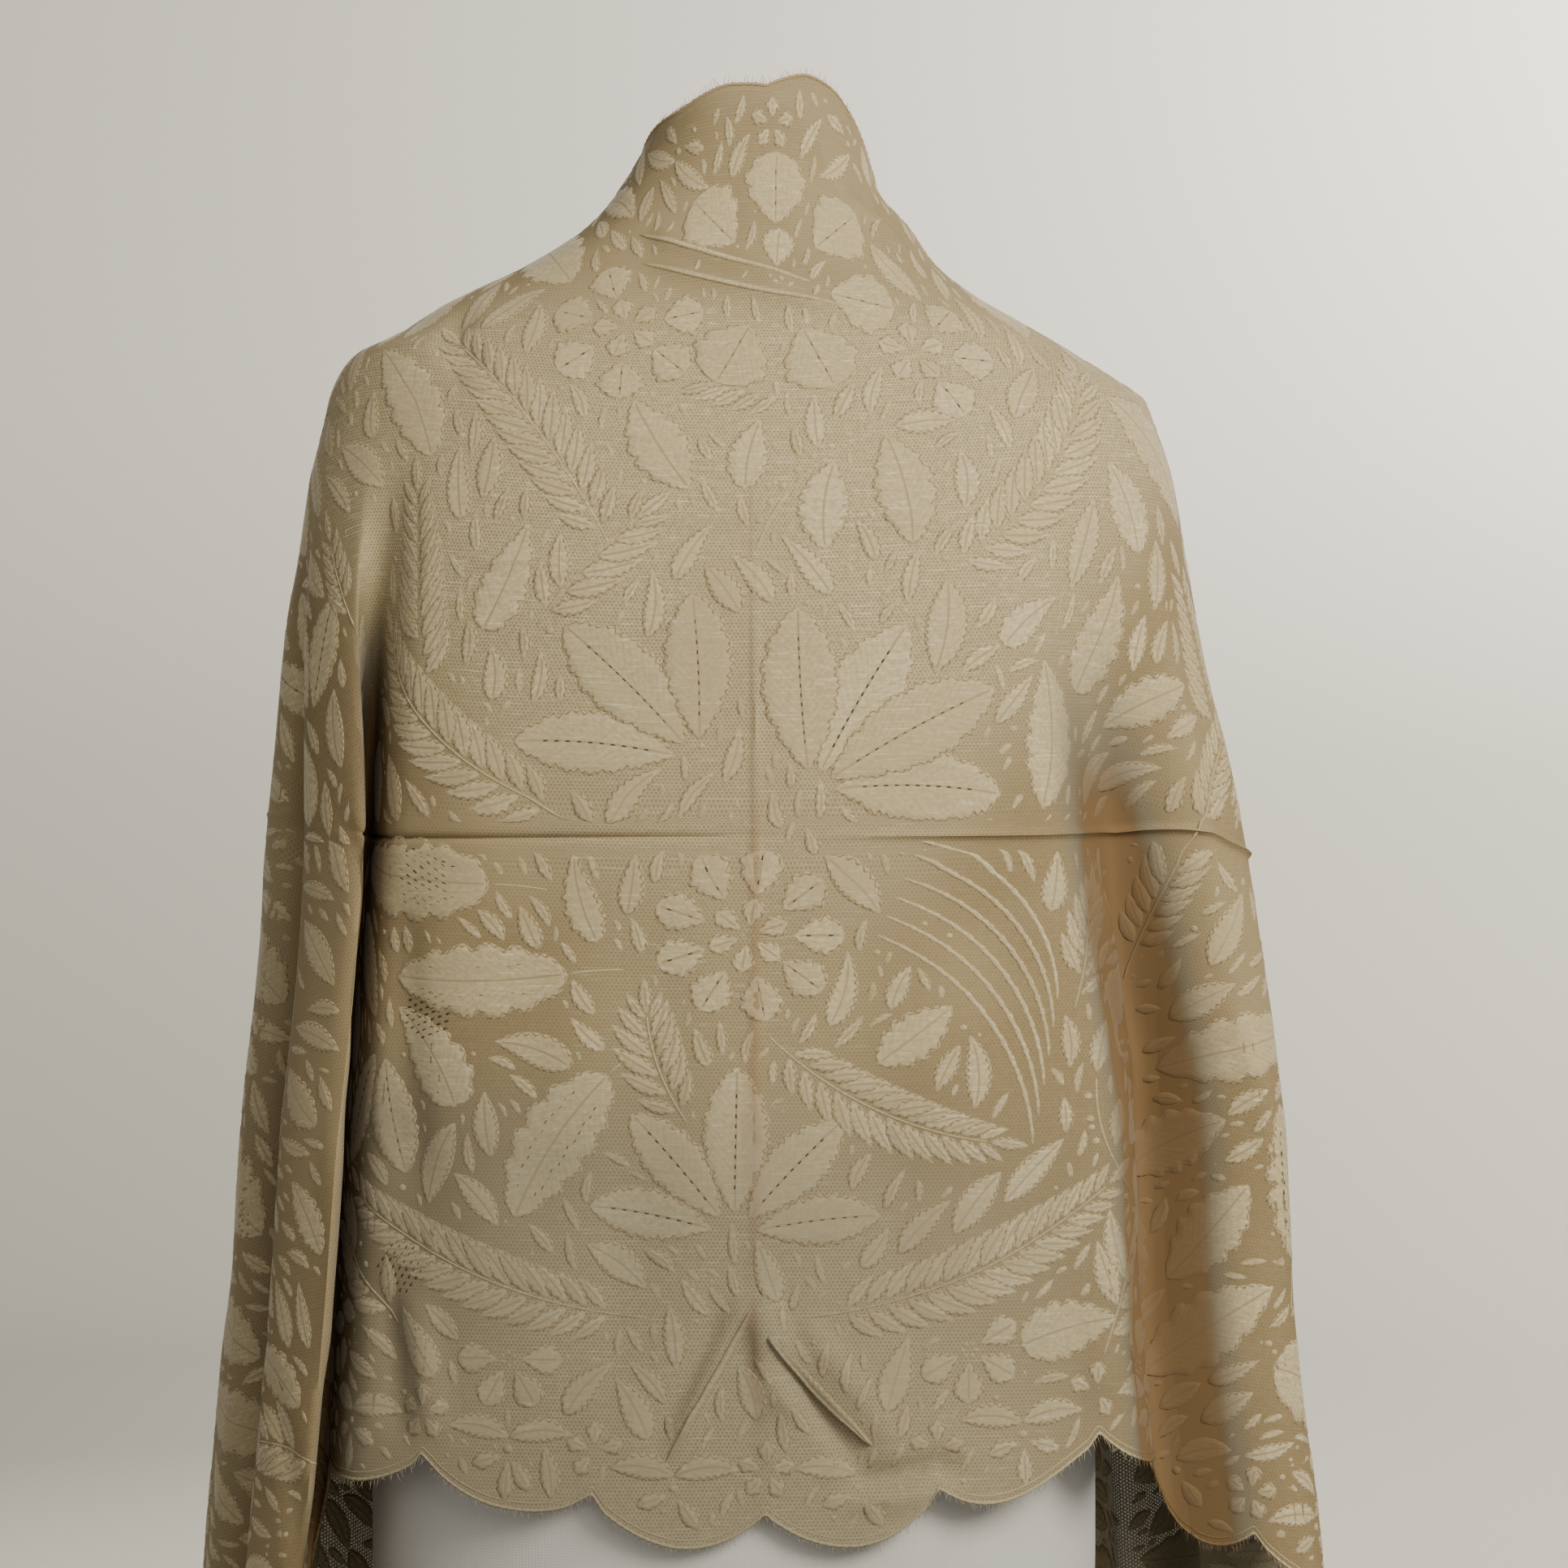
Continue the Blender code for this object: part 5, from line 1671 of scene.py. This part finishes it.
def edging_material(looks):
    """The edge cord: pale thread with twisted grooves, browner along the top of the neck."""
    recipe = Recipe("ecru edge cord")
    along, round_it, _ = recipe.uv("motif").parts()
    twist = (along + round_it * 0.8).wave(0.0013)
    base = (twist * 0.5).mix(looks.leaf_colour, looks.net_dark)
    base = recipe.place().parts()[2].steps(1.43, 1.49, 0.0, 0.6).mix(base, looks.stain_colour)
    return cloth_finish(recipe, Base_Color=aged(recipe, base, looks), Normal=twist.bump(0.0002, 0.5))


def form_material(looks):
    """Close white jersey: fine upright rows of stitches, a little fuzz, faint soiling."""
    recipe = Recipe("white jersey")
    place = recipe.place()
    x, y, z = place.parts()
    upright = (x.math("ARCTAN2", y) * 0.15).wave(looks.stitch_pitch)
    stitches = upright * z.wave(looks.stitch_pitch * 0.8)
    soil = place.noise(9.0, 4.0, 0.6).steps(0.4, 0.75)
    base = soil.mix(looks.jersey_colour, looks.jersey_soiled)
    base = (stitches * 0.12).mix(base, looks.jersey_shadow)
    relief = (stitches * 0.8 + place.noise(900.0, 2.0) * 0.5).bump(0.0002, 0.5)
    sheen = {"Sheen_Weight": 0.3, "Sheen_Roughness": 0.5}
    return recipe.done(Base_Color=base, Roughness=0.92, Specular_IOR_Level=0.2, Normal=relief, **sheen)


def metal_material(name, looks, across):
    """Satin metal with fine turned lines and a few rubbed places. Across is the direction that
    the lines follow each other in: along the tube's length, or out from the plate's middle."""
    recipe = Recipe(name)
    place = recipe.place()
    x, y, z = place.parts()
    along = z if across == "length" else (x * x + y * y).math("SQRT")
    turned = along.to("ShaderNodeCombineXYZ", {"X": along * 900.0}).noise(1.0, 2.0)
    rubbed = place.noise(14.0, 5.0, 0.65).steps(0.45, 0.7)
    rough = turned.math("MULTIPLY_ADD", 0.1, rubbed.math("MULTIPLY_ADD", 0.18, 0.28))
    base, relief = turned.mix(looks.metal_colour, looks.metal_dark), turned.bump(0.00006, 0.5)
    return recipe.done(Base_Color=base, Roughness=rough, Normal=relief, Metallic=1.0)


def stage_material(looks):
    """Plain painted plaster. It is a little lighter high up than low down, which is painted light and
    shade.
    """
    recipe = Recipe("plain plaster")
    place = recipe.place()
    grain = place.noise(40.0, 3.0)
    # Painted light and shade: the wall's colour grows lighter with height.
    base = place.parts()[2].steps(0.1, 2.2).mix(looks.wall_low, looks.wall_high)
    base, relief = (grain * 0.05).mix(base, looks.wall_low), grain.bump(0.0004, 0.2)
    return recipe.done(Base_Color=base, Roughness=0.95, Specular_IOR_Level=0.1, Normal=relief)


def build_form(material):
    """The covered form: closed rings of the same sections as its solid, with a flat underside
    and a small dome at the neck."""
    heights = [FORM_SECTIONS[0].height]
    for lower, upper in zip(FORM_SECTIONS, FORM_SECTIONS[1:]):
        steps = math.ceil((upper.height - lower.height) / FORM_RING_STEP)
        heights += list(np.linspace(lower.height, upper.height, steps + 1)[1:])
    angles = np.linspace(0, 360, FORM_SIDES, endpoint=False) - 180
    grid_angle, grid_height = np.meshgrid(angles, heights)
    x, y = form_plan(grid_angle, grid_height)
    rings = np.stack([x, y, grid_height], axis=-1)
    low, high = capped(rings[0], FORM_CAP_RINGS), capped(rings[-1], FORM_CAP_RINGS)
    rings = np.concatenate([low[::-1], rings, high])
    quads = tube_quads(*rings.shape[:2])
    made = new_piece("dress_form_cover", rings.reshape(-1, 3), quads, material, slot="form_cover")
    close_ends(made)
    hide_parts("dress_form")


FORM_CAP_RINGS = 5


def capped(ring, count):
    """Smaller and smaller copies of a ring towards its own middle, all but the last point."""
    middle = ring.mean(axis=0)
    shares = 1 - np.arange(1, count + 1) / (count + 0.25)
    return middle + (ring - middle) * shares[:, None, None]


def tube_quads(rings, sides):
    """Faces of a tube over rings from its bottom to its top, each as the angle grows."""
    index = np.arange(rings * sides).reshape(rings, sides)
    after = np.roll(index, -1, axis=1)
    return np.stack([index[:-1], after[:-1], after[1:], index[1:]], axis=-1).reshape(-1, 4)


def close_ends(made):
    """Fills the two open ends of a tube and turns all its faces outwards."""
    bm = bmesh.new()
    bm.from_mesh(made.data)
    open_edges = [edge for edge in bm.edges if edge.is_boundary]
    bmesh.ops.holes_fill(bm, edges=open_edges, sides=0)
    bmesh.ops.recalc_face_normals(bm, faces=bm.faces[:])
    bm.to_mesh(made.data)
    bm.free()
    made.data.shade_smooth()


def area_light(name, place, target, size, power, colour):
    light = bpy.data.lights.new(name, "AREA")
    light.shape = "DISK"
    light.size = size
    light.energy = power
    light.color = colour
    made = linked(name, light)
    made.location = place
    made.rotation_euler = (Vector(target) - Vector(place)).to_track_quat("-Z", "Y").to_euler()
    made.visible_camera = False


def build_stage(looks):
    """A round room with a coved floor, far enough out for every view, soft lights in it, and the
    camera. The room is a profile of radius and height turned about the stand's axis."""
    turn = np.linspace(0, math.pi / 2, 9)
    cove_r = looks.room_radius - looks.cove_radius + looks.cove_radius * np.sin(turn)
    cove_z = looks.cove_radius * (1 - np.cos(turn))
    radius = np.concatenate([np.linspace(0.02, cove_r[0], 8)[:-1], cove_r, [looks.room_radius]])
    height = np.concatenate([np.zeros(7), cove_z, [looks.room_height]]) - looks.floor_gap
    around = np.linspace(0, 2 * math.pi, 96, endpoint=False)
    radius, height = radius[:, None], height[:, None]
    parts = (radius * np.cos(around), radius * np.sin(around), height + 0 * around)
    rings = np.stack(parts, axis=-1)
    plaster = stage_material(looks)
    quads = tube_quads(*rings.shape[:2])[:, ::-1]
    room = new_piece("stage_room", rings.reshape(-1, 3), quads, plaster)
    for ray in ("diffuse", "glossy", "shadow", "transmission"):
        setattr(room, "visible_" + ray, False)
    middle = new_piece("stage_floor_middle", rings[0][::24], np.array([[0, 1, 2, 3]]), plaster)
    world = bpy.data.worlds.new("soft studio")
    world.use_nodes = True
    sky = world.node_tree.nodes["Background"]
    feed(sky.inputs["Color"], looks.fill_colour)
    feed(sky.inputs["Strength"], looks.fill_strength)
    bpy.context.scene.world = world
    for name, place, target, size, share in STUDIO_LIGHTS:
        area_light(name, place, target, size, looks.light_power * share, looks.light_colour)
    camera = bpy.data.cameras.new("camera")
    camera.sensor_width = SENSOR_WIDTH
    camera.lens = SENSOR_WIDTH * CAMERA_DISTANCE / PICTURE_WIDTH
    camera.clip_start = 0.05
    made = bpy.context.scene.camera = linked("camera", camera)
    made.location = (CAMERA_X, -CAMERA_DISTANCE, CAMERA_HEIGHT)
    made.rotation_euler = (math.radians(90), 0, 0)


# The camera looks level at the back from 1.5 m, and its picture is 0.77 m wide at the form's axis.
SENSOR_WIDTH = 36.0
CAMERA_DISTANCE = 1.5
CAMERA_X = 0.0244
CAMERA_HEIGHT = 1.154
PICTURE_WIDTH = 0.7728

# Name, place, what it points at, size, and its power as a multiple of the setting.
LIGHT_TARGET = (0.0, 0.0, 1.1)
WALL_TARGET = (1.6, 6.0, 2.2)
STUDIO_LIGHTS = (
    ("key", (1.25, -1.4, 2.05), LIGHT_TARGET, 0.9, 0.4),
    ("near fill", (0.5, -1.5, 1.8), LIGHT_TARGET, 1.0, 0.08),
    ("left fill", (-2.2, -2.6, 1.7), LIGHT_TARGET, 1.6, 0.05),
    ("front left", (-1.3, 3.0, 2.1), LIGHT_TARGET, 1.6, 0.36),
    ("front right", (1.8, 2.6, 2.4), LIGHT_TARGET, 1.6, 0.46),
    ("wall wash", (3.0, 3.2, 3.4), WALL_TARGET, 1.8, 2.9),
)


def setting(kind, **limits):
    """Makes settings of one kind, each from its label, its description and its default."""

    def made(label, description, default):
        return kind(name=label, description=description, default=default, min=0.0, **limits)

    return made


colour_of = setting(bpy.props.FloatVectorProperty, subtype="COLOR", size=3, max=1.0)
share_of = setting(bpy.props.FloatProperty, subtype="FACTOR", max=1.0)
length_of = setting(bpy.props.FloatProperty, unit="LENGTH", precision=4)
number_of = setting(bpy.props.FloatProperty)
power_of = setting(bpy.props.FloatProperty, unit="POWER")


class LaceLooks(bpy.types.PropertyGroup):
    """Colours and finish of the lace."""

    net_colour: colour_of("Net", "Light threads of the net ground", (0.49, 0.4, 0.225))
    # Painted shade of the open meshes of the net; also the darker twist of the edge cord.
    net_dark: colour_of("Net shade", "Darker threads of the net ground", (0.45, 0.365, 0.2))
    leaf_colour: colour_of("Leafwork", "Closely worked leaves and flowers", (0.55, 0.455, 0.26))
    leaf_tone: colour_of("Second leafwork", "Leaves worked a little more loosely", (0.46, 0.372, 0.205))
    leaf_dark: colour_of("Leafwork shade", "Hollows between the worked threads", (0.42, 0.335, 0.175))
    slub_colour: colour_of("Slubs", "Thicker, paler threads", (0.7, 0.61, 0.4))
    mottle_colour: colour_of("Mottling", "Soft darker spots in the thread", (0.31, 0.235, 0.115))
    # Painted shade of the net where nothing is close behind it.
    open_net_shade: colour_of("Open net", "The net with nothing close behind it", (0.22, 0.15, 0.065))
    outline_colour: colour_of("Outline", "Thread gap round each worked shape", (0.17, 0.112, 0.05))
    # Painted shade inside the eyelets.
    eyelet_shade: colour_of("Eyelets", "Inside of an eyelet with nothing behind", (0.04, 0.028, 0.014))
    stain_colour: colour_of("Stain", "Orange-brown mark along the middle crease", (0.3, 0.165, 0.08))
    cloud_colour: colour_of("Age spots", "Faint cloudy yellowing", (0.4, 0.31, 0.165))
    # Painted shade of the folds: grey in the shallow ones, brown in the deep ones.
    shade_colour: colour_of("Shade", "Grey of the cloth in its shallow folds", (0.165, 0.15, 0.105))
    deep_fold_shade: colour_of("Deep folds", "Brown of the cloth deep in its folds", (0.15, 0.088, 0.034))
    stain_strength: share_of("Stain strength", "How strong the stain is", 0.75)
    cloud_strength: share_of("Age spot strength", "How strong the cloudy yellowing is", 0.42)
    outline_strength: share_of("Outline strength", "How dark the outlines are", 0.85)
    # How strong the painted brown shade of the deepest folds is.
    fold_strength: share_of("Fold strength", "How brown the deepest folds are", 0.92)
    net_pitch: length_of("Net pitch", "Distance between the meshes of the net", 0.0016)
    tooth_pitch: length_of("Tooth pitch", "Distance between the teeth of the leaves", 0.0036)
    tooth_gap: colour_of("Tooth gaps", "Half-worked ground between the teeth", (0.41, 0.33, 0.18))
    thread_alpha: share_of("Thread cover", "How much a net thread hides", 0.92)
    mesh_alpha: share_of("Mesh cover", "How much the open meshes hide", 0.55)


class FormLooks(bpy.types.PropertyGroup):
    """Colours of the form's jersey cover."""

    jersey_colour: colour_of("Jersey", "Clean jersey", (0.57, 0.55, 0.49))
    jersey_soiled: colour_of("Soiled jersey", "Jersey where it is handled", (0.5, 0.475, 0.41))
    jersey_shadow: colour_of("Stitch shadow", "Between the stitches", (0.36, 0.36, 0.36))
    stitch_pitch: length_of("Stitch pitch", "Distance between rows of stitches", 0.0016)


class StandLooks(bpy.types.PropertyGroup):
    """Colours of the stand's metal."""

    metal_colour: colour_of("Metal", "Satin metal", (0.6, 0.6, 0.61))
    metal_dark: colour_of("Metal lines", "Fine turned lines", (0.46, 0.46, 0.48))


class StageLooks(bpy.types.PropertyGroup):
    """Size, colours and light of the stage."""

    # Painted shade low on the wall and painted light high on it.
    wall_low: colour_of("Wall low", "Plaster near the floor", (0.56, 0.535, 0.455))
    wall_high: colour_of("Wall high", "Plaster at and over eye level", (0.83, 0.795, 0.695))
    fill_colour: colour_of("Fill", "Colour of the light from all round", (1.0, 0.985, 0.95))
    light_colour: colour_of("Lamps", "Colour of the lamps", (1.0, 0.97, 0.91))
    fill_strength: number_of("Fill strength", "Strength of the light from all round", 0.32)
    light_power: power_of("Lamp power", "Power that every lamp has its own multiple of", 120.0)
    room_radius: length_of("Room radius", "Distance of the wall from the stand", 6.0)
    room_height: length_of("Room height", "Height of the wall", 5.5)
    cove_radius: length_of("Cove radius", "Radius of the curve from floor to wall", 1.2)
    floor_gap: length_of("Floor gap", "How far the floor is below the base", 0.0005)


class ShawlSettings(bpy.types.PropertyGroup):
    """All settings of the scene."""

    lace: bpy.props.PointerProperty(type=LaceLooks, name="Lace", description="The lace")
    form: bpy.props.PointerProperty(type=FormLooks, name="Form", description="The dress form")
    stand: bpy.props.PointerProperty(type=StandLooks, name="Stand", description="The stand")
    stage: bpy.props.PointerProperty(type=StageLooks, name="Stage", description="The stage")


class SHAWL_OT_stage(bpy.types.Operator):
    """Build the plain room, its lamps and the camera"""

    bl_idname = "shawl.stage"
    bl_label = "Stage"

    def execute(self, context):
        build_stage(context.scene.lace_shawl.stage)
        return {"FINISHED"}


class SHAWL_OT_form(bpy.types.Operator):
    """Build the jersey-covered dress form"""

    bl_idname = "shawl.dress_form"
    bl_label = "Dress Form"

    def execute(self, context):
        build_form(form_material(context.scene.lace_shawl.form))
        return {"FINISHED"}


class SHAWL_OT_stand(bpy.types.Operator):
    """Give the pole and the base their satin metal"""

    bl_idname = "shawl.stand"
    bl_label = "Stand"

    def execute(self, context):
        looks = context.scene.lace_shawl.stand
        for node, across in (("stand_pole", "length"), ("stand_base", "radius")):
            if node not in frame["nodes"]:
                raise RuntimeError("the frame has no " + node)
            material = metal_material("satin metal, " + across, looks, across)
            frame["nodes"][node].data.materials.clear()
            frame["nodes"][node].data.materials.append(material)
        return {"FINISHED"}


class SHAWL_OT_nets(bpy.types.Operator):
    """Build the creased net ground of every stretch of the shawl"""

    bl_idname = "shawl.nets"
    bl_label = "Net Ground"

    def execute(self, context):
        build_nets(net_material(context.scene.lace_shawl.lace))
        return {"FINISHED"}


class SHAWL_OT_leafwork(bpy.types.Operator):
    """Build the closely worked leaves, flowers, stems and ribs of every stretch"""

    bl_idname = "shawl.leafwork"
    bl_label = "Leafwork"

    def execute(self, context):
        material = leafwork_material(context.scene.lace_shawl.lace)
        build_plates(("big", "slim", "wide", "middling", "band"), "_leafwork", material)
        build_plates(("small", "tiny"), "_sprigs", material)
        return {"FINISHED"}


class SHAWL_OT_eyelets(bpy.types.Operator):
    """Build the rows of small worked holes, as discs painted dark with shade"""

    bl_idname = "shawl.eyelets"
    bl_label = "Eyelets"

    def execute(self, context):
        build_plates(("eyelet",), "_eyelets", eyelet_material(context.scene.lace_shawl.lace))
        return {"FINISHED"}


class SHAWL_OT_edging(bpy.types.Operator):
    """Build the beaded edge cords and their eyelash threads"""

    bl_idname = "shawl.edging"
    bl_label = "Edging"

    def execute(self, context):
        build_edging(edging_material(context.scene.lace_shawl.lace))
        return {"FINISHED"}


class SHAWL_OT_cuts(bpy.types.Operator):
    """Look up each stretch's net and worked pieces, and change nothing"""

    bl_idname = "shawl.cuts"
    bl_label = "Cut Sizes"

    def execute(self, context):
        declare_sheets()
        return {"FINISHED"}


PIECE_OPERATORS = (
    SHAWL_OT_stage, SHAWL_OT_form, SHAWL_OT_stand, SHAWL_OT_nets,
    SHAWL_OT_leafwork, SHAWL_OT_eyelets, SHAWL_OT_edging, SHAWL_OT_cuts,
)


class SHAWL_PT_pieces(bpy.types.Panel):
    """Lists the pieces in the order that they are built"""

    bl_idname = "SHAWL_PT_pieces"
    bl_label = "Lace Shawl"
    bl_space_type = "VIEW_3D"
    bl_region_type = "UI"
    bl_category = "Lace Shawl"

    def draw(self, context):
        for operator in PIECE_OPERATORS:
            self.layout.operator(operator.bl_idname)


SETTINGS = (LaceLooks, FormLooks, StandLooks, StageLooks, ShawlSettings)
CLASSES = (*SETTINGS, *PIECE_OPERATORS, SHAWL_PT_pieces)


def register():
    for kind in CLASSES:
        bpy.utils.register_class(kind)
    bpy.types.Scene.lace_shawl = bpy.props.PointerProperty(type=ShawlSettings)


def unregister():
    del bpy.types.Scene.lace_shawl
    for kind in reversed(CLASSES):
        bpy.utils.unregister_class(kind)


def main():
    register()
    for operator in PIECE_OPERATORS:
        getattr(bpy.ops.shawl, operator.bl_idname.split(".")[1])()


if __name__ == "__main__":
    main()
